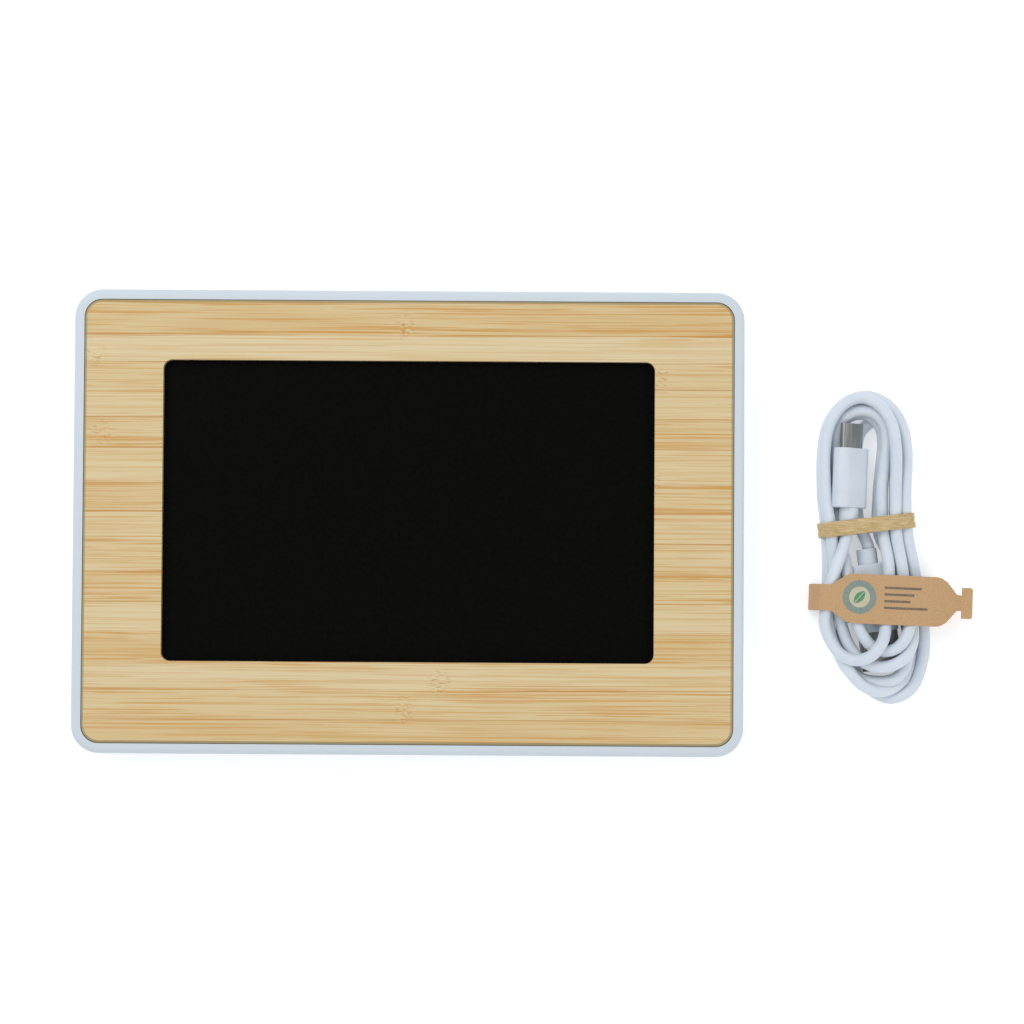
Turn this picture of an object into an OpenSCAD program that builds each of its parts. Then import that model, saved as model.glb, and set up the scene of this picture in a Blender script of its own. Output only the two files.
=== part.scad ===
// Table-top digital photo frame lying on its back, with its tied USB lead beside it.
// X runs along the width, Y towards the top edge, Z out of the screen. Z = 0 is under the rear feet.

/* [Body] */
// Width of the body
body_w = 209.5; // [198:0.1:252]
// Height of the body, from its bottom edge to its top edge
body_d = 145; // [142:0.1:175]
// Thickness from the back of the cover to the top of the rim
body_t = 20.8; // [20:0.01:26]
// Corner radius of the body
body_r = 8.8; // [7:0.1:14]
// Visible width of the white rim around the panel
rim_w = 3.2; // [2.6:0.1:5]
// Rounding of the rim's outer edge
rim_round = 1.8; // [0.5:0.1:2.4]
// Side wall of the housing
wall = 2.2; // [1.6:0.1:2.8]
// Front plate of the housing
plate_t = 2.4; // [2:0.1:3]
// Plate of the rear cover
cover_t = 2.2; // [2:0.1:3]

/* [Panel and window] */
// Thickness of the bamboo panel
panel_t = 3; // [2:0.1:4]
// How far the panel stands above the rim
panel_proud = 0.6; // [0:0.1:1.2]
// Chamfer along the panel's outer edge
panel_chamfer = 0.8; // [0.3:0.1:1.2]
// Width of the window
window_w = 153.4; // [125:0.1:165]
// Height of the window
window_d = 94; // [78:0.1:98]
// Centre of the window above the centre of the body
window_shift = 3.4; // [0:0.1:6]
// Corner radius of the window
window_r = 2.8; // [1:0.1:6]
// How far the lens reaches under the panel on each side
lens_lap = 3; // [2:0.1:4]
// Thickness of the lens
lens_t = 1.1; // [0.7:0.1:2]
// Adhesive tape
tape_t = 0.2; // [0.1:0.05:0.5]

/* [Display and board] */
// Height of the display module beyond the window, for its edge electronics
lcd_extra = 12; // [8:0.5:14]
// Thickness of the display glass
lcd_t = 1.2; // [0.8:0.1:2]
// Thickness of the backlight tray
backlight_t = 2.4; // [1.6:0.1:4]
// Width of the main board
board_w = 66; // [60:1:72]
// Height of the main board
board_d = 92; // [85:1:105]
// Thickness of the main board
board_t = 1.6; // [1:0.1:2]
// Standoff between the rear cover and the board
board_lift = 3; // [3:0.1:4]

/* [Stand] */
// Width of the stand leg
leg_w = 55; // [50:1:70]
// Length of the stand leg from its pin to its foot
leg_l = 92; // [85:1:100]
// Thickness of the stand leg
leg_t = 4; // [3:0.1:4.5]
// Height of the stand pin above the centre of the body
hinge_y = 26; // [20:1:32]
// Radius of the stand pin
pin_r = 1; // [0.8:0.05:1.3]
// Opening angle of the stand in the drawing, zero when folded
leg_angle = 0; // [0:1:32]

/* [Fasteners and feet] */
// Radius of a cover screw's shank
screw_r = 1.25; // [1:0.05:1.5]
// Radius of a rear foot
foot_r = 5; // [3:0.5:7]
// How far the rear feet stand out of the cover
foot_h = 1.2; // [0.8:0.1:2]
// Radius of the power button
button_r = 3; // [2:0.1:4]
// Wall screw spacing of the two keyholes
keyhole_pitch = 100; // [80:1:120]

/* [Cable] */
// Diameter of the cord
cord_d = 3.8; // [3:0.1:4.5]
// Width of the rubber band
band_w = 4.7; // [3:0.1:8]

/* [Hidden] */
$fn = 48;

cut = 1;                                      // how far a cut runs past the face it opens
gap = 0.15;                                   // easy fit between glued or seated pieces
fit = 0.03;                                   // radial clearance of a screw or pin in its own hole
run = 0.06;                                   // radial clearance of the running pin

z_back = foot_h;                              // outer face of the rear cover
z_in = z_back + cover_t;                      // inner face of the rear cover
z_rim = z_back + body_t;                      // top of the rim
z_panel = z_rim + panel_proud - panel_t;      // underside of the bamboo panel
z_plate = z_panel - tape_t;                   // top of the front plate
z_lens = z_plate - lens_t;                    // underside of the lens
z_seat = z_lens - tape_t;                     // seat of the lens tape
z_under = z_plate - plate_t;                  // underside of the front plate
gasket_t = 0.4;
z_lcd = z_under - gasket_t - lcd_t;           // underside of the display glass
z_tray = z_lcd - backlight_t;                 // underside of the backlight tray

panel_w = body_w - 2 * rim_w - 2 * gap;
panel_d = body_d - 2 * rim_w - 2 * gap;
panel_r = body_r - rim_w;
lens_w = window_w + 2 * lens_lap;
lens_d = window_d + 2 * lens_lap;
open_w = window_w - 0.4;
open_d = window_d - 0.2;
lcd_w = window_w + 8;
lcd_d = window_d + lcd_extra;
lcd_y = window_shift;

cover_w = body_w - 2 * wall - 2 * gap;
cover_d = body_d - 2 * wall - 2 * gap;
cover_r = body_r - wall;

// Bosses stand in two rows, near the corners and half way in
boss_r = 3.4;
boss_x = body_w / 2 - wall - boss_r - 3.6;
boss_mid = body_w / 5;
boss_y = body_d / 2 - wall - boss_r - 2.6;
head_r = 2.3;
head_h = 1.2;
head_sink = 0.1;
screw_l = 9;
boss_gap = 0.1;                               // between a boss and the cover

// Clips hold the display module from behind, two on each side
clip_t = 0.8;
clip_w = 9;
clip_boss_x = lcd_w / 2 + 4.4;
clip_half = 4;
clip_edge = 8.5;                              // from the display's edge to the middle of a clip
clip_y = lcd_d / 2 - clip_edge;
small_screw_r = 0.9;
small_head_r = 1.7;
small_head_h = 0.8;
small_screw_l = 4.5;
post_r = 2.6;                                 // posts for small screws

// The board fills the right-hand side of the back, up to the side wall
board_gap = 0.3;
board_x = body_w / 2 - wall - board_gap - board_w / 2;
board_y = -2;
z_board = z_in + board_lift;
z_top = z_board + board_t;
board_hole_x = board_w / 2 - 4;
board_hole_y = board_d / 2 - 4;
usb_y = board_y - board_d / 4;
card_y = board_y + board_d / 5;
flex_t = 0.3;
flex_w = 22;
flex_x = board_x - 26;
flex_run = 14;                                // stretch of the ribbon under the display
flex_y = lcd_y - clip_y + clip_half + 1 + flex_run;
mouth_gap = 0.5;
usb_w = 8.94;
usb_h = 3.26;
usb_l = 7.3;
usb_wall = 0.3;
usb_z = z_top + usb_h / 2;
card_w = 14.5;
card_h = 1.5;
card_l = 15;
card_z = z_top + card_h / 2;
grip_seat = 0.8;                              // depth of the seat for the plug's grip
nick_r = 6;
nick_depth = 1;

// The button works a switch on the back of the board
button_x = board_x + board_w / 2 - 12;
button_y = board_y + board_d / 2 - 12;
button_out = 0.5;
button_travel = 0.5;
switch_h = 1.5;

// The leg folds into a tray that is part of the rear cover
tray_wall = 1.6;
leg_gap = 0.5;
z_leg = z_back + 0.5;                         // outer face of the folded leg
hinge_r = 2.8;
z_pin = z_leg + hinge_r;
z_tray_floor = z_pin + hinge_r + 0.7;
tray_half = leg_w / 2 + leg_gap;
tray_low = hinge_y - leg_l - leg_gap;
tray_high = hinge_y + hinge_r + 2.2;
ear_x = 22.6;
ear_t = 1.4;
ear_r = 2.4;
washer_t = 0.4;
pin_end = 0.6;
barrel_half = ear_x - washer_t - 0.2;
bracket_t = 0.6;
leg_skin = 1.6;
pad_l = 2;
notch_r = 9;

// Speaker in the lower left of the back
speaker_x = -body_w / 2 + 37;
speaker_y = -body_d / 2 + 20;
speaker_w = 34;
speaker_d = 16;
speaker_h = 4.4;
speaker_gap = 0.6;                            // thickness of its gasket
z_speaker = z_in + speaker_gap;
wire_r = 0.45;
coax_r = 0.5;

antenna_x = -body_w / 2 + 36;
antenna_y = body_d / 2 - 22;
antenna_t = 0.3;

foot_x = body_w / 2 - 18;
foot_y = body_d / 2 - 20;
foot_seat = 0.5;

keyhole_y = body_d / 2 - 24;
keyhole_r = 4.2;
keyhole_neck = 1.9;
keyhole_rise = 7;
label_t = 0.12;

// ---- the tied lead, to the right of the frame ----
cord_r = cord_d / 2;
hank_h = 9.6;
hank_top = [144.6, 28.4];
hank_low = [148.4, -40];
hank_r_top = 15;
hank_r_low = 15.8;
c_top = [139.3, 24.7, 9];                      // front face of the small plug's grip
c_roll = 35;
c_lean = -2;
c_grip = [12.35, 6.5, 18.9];
c_shell = [8.34, 2.56, 7.8];
c_neck_r = 3.1;
c_neck_l = 4.8;
a_top = [145.2, -11.8, 5];                    // shoulder of the large plug's grip
a_roll = -12;
a_lean = 8;
a_grip = [13.6, 7.4, 21.6];
a_shell = [12, 4.5, 12];
a_neck_r = 3.2;
a_neck_l = 4.8;
shell_wall = 0.3;
shell_back = 0.6;                             // closed end of a plug's shell
neck_seat = 1;                                // how far a cord enters its neck
band_at = [144.2, 0.3, 6.3];
band_angle = 6.8;
band_t = 0.7;
band_size = [29, 12.6];
lead_points = [[138.2, 0.8, 9.2], [137.9, -2, 9.8], [137, -6, 10.8], [135.6, -10, 11.6], [134, -14, 12],
    [132.6, -18, 12.1], [131.4, -22, 12], [130.7, -26, 11.6], [130.9, -30, 10.6], [132, -34, 9]];
tag_angle = -2.1;
tag_at = [152, -23.2];
tag_t = 0.4;
tag_h = 14.2;
tag_x = [-25.2, 25.9];

function cross3(a, b) = [a[1] * b[2] - a[2] * b[1], a[2] * b[0] - a[0] * b[2], a[0] * b[1] - a[1] * b[0]];
function unit(v) = v / norm(v);

// Rounded rectangle, centred, made of true arcs
module round_rect(w, d, r) {
    square([w - 2 * r, d], center = true);
    square([w, d - 2 * r], center = true);
    for (sx = [-1, 1], sy = [-1, 1])
        translate([sx * (w / 2 - r), sy * (d / 2 - r)]) circle(r);
}

module slab(w, d, r, h) {
    linear_extrude(h) round_rect(w, d, r);
}

// Upright slot with round ends
module slot_shape(r, half) {
    square([2 * r, 2 * half], center = true);
    for (sy = [-1, 1]) translate([0, sy * half]) circle(r);
}

// Bar of stadium section, w along Y and t along X
module stadium(w, t, h) {
    linear_extrude(h) slot_shape(t / 2, (w - t) / 2);
}

// Flat frame: a slab with a rounded window
module frame_slab(w, d, r, in_w, in_d, in_r, h, shift = 0) {
    linear_extrude(h) difference() {
        round_rect(w, d, r);
        translate([0, shift]) round_rect(in_w, in_d, in_r);
    }
}

// Runs a 2D profile round a rounded rectangle; the profile's x is 0 on the outer edge and negative inside
module run_round(w, d, r) {
    for (sx = [-1, 1])
        translate([sx * (w / 2 - r), 0, 0]) rotate([90, 0, 90 - sx * 90])
            linear_extrude(d - 2 * r, center = true) translate([r, 0]) children();
    for (sy = [-1, 1])
        translate([0, sy * (d / 2 - r), 0]) rotate([90, 0, sy * 90])
            linear_extrude(w - 2 * r, center = true) translate([r, 0]) children();
    for (k = [0 : 3]) {
        sx = (k == 0 || k == 3) ? 1 : -1;
        sy = (k < 2) ? 1 : -1;
        translate([sx * (w / 2 - r), sy * (d / 2 - r), 0]) rotate(k * 90)
            rotate_extrude(angle = 90) translate([r, 0]) children();
    }
}

module boss_grid() {
    for (x = [-boss_x, -boss_mid, boss_mid, boss_x], y = [-boss_y, boss_y])
        translate([x, y, 0]) children();
}

module clip_grid() {
    for (sx = [-1, 1], sy = [-1, 1])
        translate([sx * clip_boss_x, lcd_y + sy * clip_y, 0]) mirror([sx < 0 ? 1 : 0, 0, 0]) children();
}

module board_holes() {
    for (sx = [-1, 1], sy = [-1, 1])
        translate([board_x + sx * board_hole_x, board_y + sy * board_hole_y, 0]) children();
}

module foot_grid() {
    for (sx = [-1, 1], sy = [-1, 1])
        translate([sx * foot_x, sy * foot_y, 0]) children();
}

// Everything on the stand leg turns about the pin
module swing() {
    translate([0, hinge_y, z_pin]) rotate([leg_angle, 0, 0]) translate([0, -hinge_y, -z_pin]) children();
}

// Section of the housing's wall, with its rounded rim
module wall_section() {
    z_round = z_rim - rim_round;
    polygon([[-rim_w, z_rim], [-rim_w, z_under], [-wall, z_under], [-wall, z_back], [0, z_back],
        [0, z_round], [-rim_round, z_round], [-rim_round, z_rim]]);
    translate([-rim_round, z_round]) intersection() {
        circle(rim_round);
        square(rim_round);
    }
}

module front_housing() {
    color("#cfd8dd") difference() {
        union() {
            run_round(body_w, body_d, body_r) wall_section();
            translate([0, 0, z_under]) slab(body_w - 2 * rim_w, body_d - 2 * rim_w, panel_r, plate_t);
            boss_grid() translate([0, 0, z_in + boss_gap])
                cylinder(r = boss_r, h = z_under - z_in - boss_gap);
            clip_grid() translate([0, 0, z_tray]) cylinder(r = post_r, h = z_under - z_tray);
        }
        translate([0, window_shift, z_under - cut]) slab(open_w, open_d, window_r, plate_t + 2 * cut);
        translate([0, window_shift, z_seat]) slab(lens_w + 2 * gap, lens_d + 2 * gap, window_r, plate_t);
        boss_grid() translate([0, 0, z_in]) cylinder(r = screw_r + fit, h = screw_l);
        clip_grid() translate([0, 0, z_tray - cut])
            cylinder(r = small_screw_r + fit, h = small_screw_l + cut - 0.5);
        // mouth of the power socket, with a shallow seat for the plug's grip
        translate([body_w / 2 - wall - cut, usb_y, usb_z]) rotate([0, 90, 0])
            stadium(usb_w + mouth_gap, usb_h + mouth_gap, wall + 2 * cut);
        translate([body_w / 2 - grip_seat, usb_y, usb_z]) rotate([0, 90, 0])
            stadium(c_grip[0] + 2 * mouth_gap, c_grip[1] + 2 * mouth_gap, 2 * cut);
        // mouth of the card slot, with a thumb nick
        translate([body_w / 2, card_y, card_z])
            cube([2 * (wall + cut), card_w, card_h + mouth_gap], center = true);
        translate([body_w / 2 + nick_r - nick_depth, card_y, card_z])
            cylinder(r = nick_r, h = 5, center = true);
    }
}

module bamboo_panel() {
    top = z_panel + panel_t;
    c = panel_chamfer;
    run_w = panel_r - 0.6;                    // the middle block laps the edge run by 0.2
    section = [[0, z_panel], [0, top - c], [-c, top], [-run_w, top], [-run_w, z_panel]];
    color("#d9bd8b") difference() {
        union() {
            run_round(panel_w, panel_d, panel_r) polygon(section);
            translate([0, 0, z_panel + panel_t / 2])
                cube([panel_w - 2 * run_w + 0.4, panel_d - 2 * run_w + 0.4, panel_t], center = true);
        }
        translate([0, window_shift, z_panel - cut]) slab(window_w, window_d, window_r, panel_t + 2 * cut);
    }
}

module panel_adhesive() {
    color("#e8e6df") translate([0, 0, z_plate])
        frame_slab(panel_w - 1, panel_d - 1, panel_r, lens_w + 2, lens_d + 2, window_r, tape_t, window_shift);
}

module display_lens() {
    color("#0f0f0d") translate([0, window_shift, z_lens]) slab(lens_w, lens_d, window_r, lens_t);
}

module lens_tape() {
    color("#1c1c1c") translate([0, window_shift, z_seat])
        frame_slab(lens_w - 0.4, lens_d - 0.4, window_r, open_w + 0.6, open_d + 0.6, window_r, tape_t);
}

module lcd_gasket() {
    color("#2b2b2b") translate([0, lcd_y, z_under - gasket_t])
        frame_slab(lcd_w - 0.6, lcd_d - 0.6, 1, open_w + 1, open_d + 1, window_r, gasket_t);
}

module lcd_panel() {
    color("#1a1d22") translate([0, lcd_y, z_lcd + lcd_t / 2]) cube([lcd_w, lcd_d, lcd_t], center = true);
}

module backlight_tray() {
    color("#b8bcc0") difference() {
        translate([0, lcd_y, z_tray + backlight_t / 2]) cube([lcd_w, lcd_d, backlight_t], center = true);
        for (x = [-lcd_w / 3, 0, lcd_w / 3])
            translate([x, lcd_y, z_tray]) cube([lcd_w / 4, lcd_d * 0.8, 0.6], center = true);
    }
}

module lcd_clips() {
    color("#c2c4c6") clip_grid() translate([0, 0, z_tray - clip_t]) difference() {
        union() {
            translate([-clip_w, -clip_half, 0]) cube([clip_w, 2 * clip_half, clip_t]);
            cylinder(r = clip_half, h = clip_t);
        }
        translate([0, 0, -cut]) cylinder(r = small_screw_r + fit, h = clip_t + 2 * cut);
    }
}

module small_screw(l) {
    translate([0, 0, -small_head_h]) cylinder(r = small_head_r, h = small_head_h);
    cylinder(r = small_screw_r, h = l);
}

module clip_screws() {
    color("#8d8f92") clip_grid() translate([0, 0, z_tray - clip_t]) small_screw(small_screw_l);
}

module rear_cover() {
    color("#c9d2d7") difference() {
        union() {
            translate([0, 0, z_back]) slab(cover_w, cover_d, cover_r, cover_t);
            translate([-tray_half - tray_wall, tray_low - tray_wall, z_back])
                cube([2 * (tray_half + tray_wall), tray_high - tray_low + 2 * tray_wall,
                    z_tray_floor - z_back + tray_wall]);
            board_holes() translate([0, 0, z_in - 0.5]) cylinder(r = post_r, h = board_lift + 0.5);
        }
        translate([-tray_half, tray_low, z_back - cut])
            cube([2 * tray_half, tray_high - tray_low, z_tray_floor - z_back + cut]);
        boss_grid() translate([0, 0, z_back - cut]) cylinder(r = screw_r + 0.2, h = cover_t + 2 * cut);
        boss_grid() translate([0, 0, z_back - cut]) cylinder(r = head_r + 0.2, h = cut + head_sink + head_h);
        board_holes() translate([0, 0, z_in - 0.7]) cylinder(r = small_screw_r + fit, h = board_lift + cut);
        foot_grid() translate([0, 0, z_back - cut]) cylinder(r = foot_r + fit, h = cut + foot_seat);
        translate([button_x, button_y, z_back - cut]) cylinder(r = button_r + gap, h = cover_t + 2 * cut);
        hinge_screw_grid() translate([0, 0, z_tray_floor - cut])
            cylinder(r = small_screw_r + fit, h = tray_wall + 2 * cut);
        // keyholes for two wall screws
        for (sx = [-1, 1]) translate([sx * keyhole_pitch / 2, keyhole_y, z_back - cut]) {
            cylinder(r = keyhole_r, h = cover_t + 2 * cut);
            translate([-keyhole_neck, 0, 0]) cube([2 * keyhole_neck, keyhole_rise, cover_t + 2 * cut]);
            translate([0, keyhole_rise, 0]) cylinder(r = keyhole_neck, h = cover_t + 2 * cut);
        }
        // sound slots over the speaker
        for (k = [-3 : 3]) translate([speaker_x + k * 3.6, speaker_y, z_back - cut])
            linear_extrude(cover_t + 2 * cut) slot_shape(0.6, 5);
        // cooling slots behind the board, and the reset pinhole
        for (k = [-5 : 5]) translate([board_x + k * 4.4, board_y + 6, z_back - cut])
            linear_extrude(cover_t + 2 * cut) slot_shape(0.8, 8);
        translate([button_x - 14, button_y, z_back - cut]) cylinder(r = 0.6, h = cover_t + 2 * cut);
    }
}

module cover_screws() {
    color("#9a9c9f") boss_grid() translate([0, 0, z_back + head_sink]) difference() {
        union() {
            cylinder(r = head_r, h = head_h);
            cylinder(r = screw_r, h = head_h + screw_l - 2.6);
        }
        for (a = [0, 90]) rotate(a) cube([2.6, 0.6, 1.4], center = true);
    }
}

module rear_feet() {
    color("#3b3d3f") foot_grid() cylinder(r = foot_r, h = foot_h + foot_seat);
}

module blank_label() {
    color("#d8dcde") translate([-body_w / 2 + 46, 6, z_back - label_t]) slab(44, 26, 1.5, label_t);
}

module main_board() {
    color("#1f6b45") difference() {
        translate([board_x, board_y, z_board]) slab(board_w, board_d, 1.5, board_t);
        board_holes() translate([0, 0, z_board - cut])
            cylinder(r = small_screw_r + 0.2, h = board_t + 2 * cut);
    }
}

module board_screws() {
    color("#8d8f92") board_holes() translate([0, 0, z_top]) mirror([0, 0, 1]) small_screw(board_t + 2.6);
}

module shield_can() {
    color("#c9ccce") translate([board_x - 14, board_y + 12, z_top]) difference() {
        slab(26, 22, 1, 2.4);
        translate([0, 0, -0.3]) slab(25.2, 21.2, 0.8, 2.3);
    }
}

module board_chips() {
    color("#26282b") translate([board_x, board_y, z_top]) {
        translate([-14, -12, 0.6]) cube([12, 12, 1.2], center = true);
        translate([4, -12, 0.5]) cube([9, 7, 1], center = true);
        translate([6, 2, 0.75]) cube([6, 6, 1.5], center = true);
        translate([-14, 12, 0.6]) cube([14, 14, 1.2], center = true);
        for (k = [0 : 3]) translate([14, -8 + 5 * k, 0.6]) cube([2, 3.2, 1.2], center = true);
    }
}

module usb_c_socket() {
    x = body_w / 2 - wall - 0.2 - usb_l;
    color("#bfc2c4") translate([x, usb_y, usb_z]) rotate([0, 90, 0]) difference() {
        stadium(usb_w, usb_h, usb_l);
        translate([0, 0, usb_wall]) difference() {
            stadium(usb_w - 2 * usb_wall, usb_h - 2 * usb_wall, usb_l);
            translate([0, 0, -usb_wall]) slab(0.7, 6.6, 0.2, usb_l - 0.6);
        }
    }
}

module card_slot() {
    color("#b9bdc0") translate([body_w / 2 - wall - 0.3 - card_l, card_y, card_z]) difference() {
        translate([card_l / 2, 0, 0]) cube([card_l, card_w, card_h], center = true);
        translate([card_l / 2 + 1, 0, 0.1]) cube([card_l, 11.2, 0.9], center = true);
    }
}

module power_switch() {
    color("#4a4d50") translate([button_x, button_y, z_board - switch_h]) {
        translate([-3.1, -3.1, 0.4]) cube([6.2, 6.2, switch_h - 0.4]);
        cylinder(r = 1.2, h = 0.5);
    }
}

module power_button() {
    color("#aeb8be") translate([button_x, button_y, 0]) {
        translate([0, 0, z_back - button_out]) cylinder(r = button_r, h = cover_t + button_out + 0.1);
        translate([0, 0, z_in + 0.05]) cylinder(r = button_r + 0.9, h = 0.5);
        translate([0, 0, z_in + 0.5]) cylinder(r = 1.2, h = board_lift - switch_h - button_travel - 0.6);
    }
}

// The ribbon leaves the back of the display, folds down and back, and ends in the board's connector
module display_flex() {
    color("#c9862b") translate([flex_x, flex_y, 0]) {
        translate([0, -flex_run, z_tray - flex_t - 0.1]) cube([flex_w, flex_run, flex_t]);
        translate([0, -flex_t, z_top + 0.8]) cube([flex_w, flex_t, z_tray - 0.1 - z_top - 0.8]);
        translate([0, -9.4, z_top + 0.8]) cube([flex_w, 9.4, flex_t]);
    }
}

module flex_connector() {
    color("#e9e4d6") translate([flex_x - 1, flex_y - 11, z_top]) difference() {
        cube([flex_w + 2, 5, 1.8]);
        translate([0.9, 0.8, 0.7]) cube([flex_w + 0.2, 5, 0.5]);
    }
}

module speaker() {
    color("#222426") translate([speaker_x, speaker_y, z_speaker]) {
        slab(speaker_w, speaker_d, 3, speaker_h);
        translate([0, 0, speaker_h]) cylinder(r = 6, h = 0.8);
    }
}

module speaker_gasket() {
    color("#35373a") translate([speaker_x, speaker_y, z_in])
        frame_slab(speaker_w, speaker_d, 3, speaker_w - 5, speaker_d - 4, 2, speaker_gap);
}

// Two insulated wires clipped along the bottom edge of the cover and over the tray
module speaker_leads() {
    x_start = speaker_x + 6;
    x_end = board_x - board_w / 2 + 3;
    for (k = [0, 1]) color(k == 0 ? "#a8322a" : "#202020") {
        z = z_tray_floor + tray_wall + 0.6 + 1.1 * k;
        y = speaker_y + 3 + k;
        translate([x_start, y, z_speaker + speaker_h]) cylinder(r = wire_r, h = z - z_speaker - speaker_h);
        translate([x_start, y, z]) rotate([0, 90, 0]) cylinder(r = wire_r, h = x_end - x_start);
        translate([x_end, y, z_top]) cylinder(r = wire_r, h = z - z_top);
    }
}

module wifi_antenna() {
    color("#1d1f22") translate([antenna_x, antenna_y, z_in]) slab(46, 9, 1, antenna_t);
}

module antenna_lead() {
    x_start = antenna_x + 12;
    x_end = board_x - board_w / 2 + 12;
    y_end = board_y + board_d / 2 - 6;
    y = antenna_y;
    z = z_tray_floor + tray_wall + 0.5;
    color("#4b4f55") {
        translate([x_start, y, z_in + antenna_t]) cylinder(r = coax_r, h = z - z_in - antenna_t);
        translate([x_start, y, z]) rotate([0, 90, 0]) cylinder(r = coax_r, h = x_end - x_start);
        translate([x_end, y, z]) rotate([90, 0, 0]) cylinder(r = coax_r, h = y - y_end);
        translate([x_end, y_end, z_top]) cylinder(r = coax_r, h = z - z_top);
    }
}

module hinge_screw_grid() {
    for (sx = [-1, 1]) translate([sx * 14, hinge_y, 0]) children();
}

// Steel bracket on the tray's floor with two ears for the pin
module hinge_bracket() {
    color("#a5a8ab") difference() {
        union() {
            for (sx = [-1, 1]) translate([sx * (ear_x + ear_t / 2), hinge_y, 0]) {
                translate([-ear_t / 2, -ear_r, z_pin]) cube([ear_t, 2 * ear_r, z_tray_floor - z_pin]);
                translate([-ear_t / 2, 0, z_pin]) rotate([0, 90, 0]) cylinder(r = ear_r, h = ear_t);
            }
            translate([-ear_x - ear_t, hinge_y - ear_r, z_tray_floor - bracket_t])
                cube([2 * (ear_x + ear_t), 2 * ear_r, bracket_t]);
        }
        translate([-ear_x - 5, hinge_y, z_pin]) rotate([0, 90, 0])
            cylinder(r = pin_r + fit, h = 2 * ear_x + 10);
        hinge_screw_grid() translate([0, 0, z_tray_floor - 2 * cut])
            cylinder(r = small_screw_r + fit, h = 4 * cut);
    }
}

module hinge_screws() {
    color("#7d8083") hinge_screw_grid() translate([0, 0, z_tray_floor]) {
        translate([0, 0, -bracket_t]) cylinder(r = small_screw_r, h = bracket_t + tray_wall);
        translate([0, 0, tray_wall]) cylinder(r = small_head_r, h = 0.6);
    }
}

module hinge_pin() {
    half = ear_x + ear_t + pin_end;
    color("#d2d4d6") translate([-half, hinge_y, z_pin]) rotate([0, 90, 0]) cylinder(r = pin_r, h = 2 * half);
}

module hinge_washers() {
    color("#c8b27a") for (sx = [-1, 1])
        translate([sx * (ear_x - 0.1 - washer_t / 2), hinge_y, z_pin]) rotate([0, 90, 0]) difference() {
            cylinder(r = 2.2, h = washer_t, center = true);
            cylinder(r = pin_r + fit, h = 2, center = true);
        }
}

module stand_leg() {
    foot_end = hinge_y - leg_l + pad_l;
    plate_top = hinge_y - hinge_r - 1;
    pitch = (leg_w - 3) / 3;
    color("#c9d2d7") swing() difference() {
        union() {
            translate([-leg_w / 2, foot_end, z_leg]) cube([leg_w, plate_top - foot_end, leg_t]);
            translate([-barrel_half, plate_top - 1, z_leg])
                cube([2 * barrel_half, hinge_y - plate_top + 1, hinge_r]);
            translate([-barrel_half, hinge_y, z_pin]) rotate([0, 90, 0])
                cylinder(r = hinge_r, h = 2 * barrel_half);
        }
        translate([-barrel_half - 5, hinge_y, z_pin]) rotate([0, 90, 0])
            cylinder(r = pin_r + run, h = 2 * barrel_half + 10);
        // three pockets lighten the hidden side and leave ribs between them
        for (k = [-1, 0, 1])
            translate([k * pitch - pitch / 2 + 1, foot_end + notch_r + 7, z_leg + leg_skin])
                cube([pitch - 2, plate_top - foot_end - notch_r - 10, leg_t]);
        translate([0, hinge_y - leg_l - 1, z_leg - cut]) cylinder(r = notch_r, h = leg_t + 2 * cut);
    }
}

module leg_pads() {
    color("#3b3d3f") swing() for (sx = [-1, 1])
        translate([sx * (leg_w / 2 + notch_r) / 2 - (leg_w / 2 - notch_r - 2) / 2, hinge_y - leg_l, z_leg])
            cube([leg_w / 2 - notch_r - 2, pad_l, leg_t]);
}

// ---- the lead ----

function arc(centre, r, from, to) =
    [for (a = [from : 10 : to]) [centre[0] + r * cos(a), centre[1] + r * sin(a)]];

// The outer shape of the tied turns: an outline with two round ends
module cable_hank() {
    color("#c8d0de") linear_extrude(hank_h)
        polygon(concat(arc(hank_top, hank_r_top, 0, 180), arc(hank_low, hank_r_low, 180, 360)));
}

module sweep_tube(points, r, sides) {
    n = len(points);
    rings = [for (i = [0 : n - 1])
        let (a = points[max(i - 1, 0)], b = points[min(i + 1, n - 1)],
            t = unit(b - a), s = unit(cross3(t, [0, 0, 1])), u = cross3(s, t))
        for (k = [0 : sides - 1]) points[i] + r * (cos(360 * k / sides) * s + sin(360 * k / sides) * u)];
    faces = concat([[for (k = [0 : sides - 1]) k]],
        [for (i = [0 : n - 2], k = [0 : sides - 1])
            let (a = i * sides + k, b = i * sides + (k + 1) % sides) [a, a + sides, b + sides, b]],
        [[for (k = [sides - 1 : -1 : 0]) (n - 1) * sides + k]]);
    polyhedron(rings, faces);
}

module cable_lead() {
    color("#c8d0de") sweep_tube(lead_points, cord_r, 8);
}

// Puts a plug, drawn along +Y with its grip's front face at the origin, in its place
module at_c() {
    translate(c_top) rotate([0, 0, c_lean]) rotate([0, c_roll, 0]) children();
}

module at_a() {
    translate(a_top) rotate([0, 0, a_lean + 180]) rotate([0, a_roll, 0]) children();
}

// Rounded bar along +Y, w along X and t along Z
module plug_bar(w, t, l, r) {
    rotate([-90, 0, 0]) slab(w, t, r, l);
}

// Bar of stadium section along +Y
module round_bar(w, t, l) {
    rotate([-90, 0, 0]) rotate(90) stadium(w, t, l);
}

module usb_c_shell() {
    color("#9b9c98") at_c() difference() {
        round_bar(c_shell[0], c_shell[1], c_shell[2]);
        translate([0, shell_back, 0])
            round_bar(c_shell[0] - 2 * shell_wall, c_shell[1] - 2 * shell_wall, c_shell[2]);
    }
}

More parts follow.
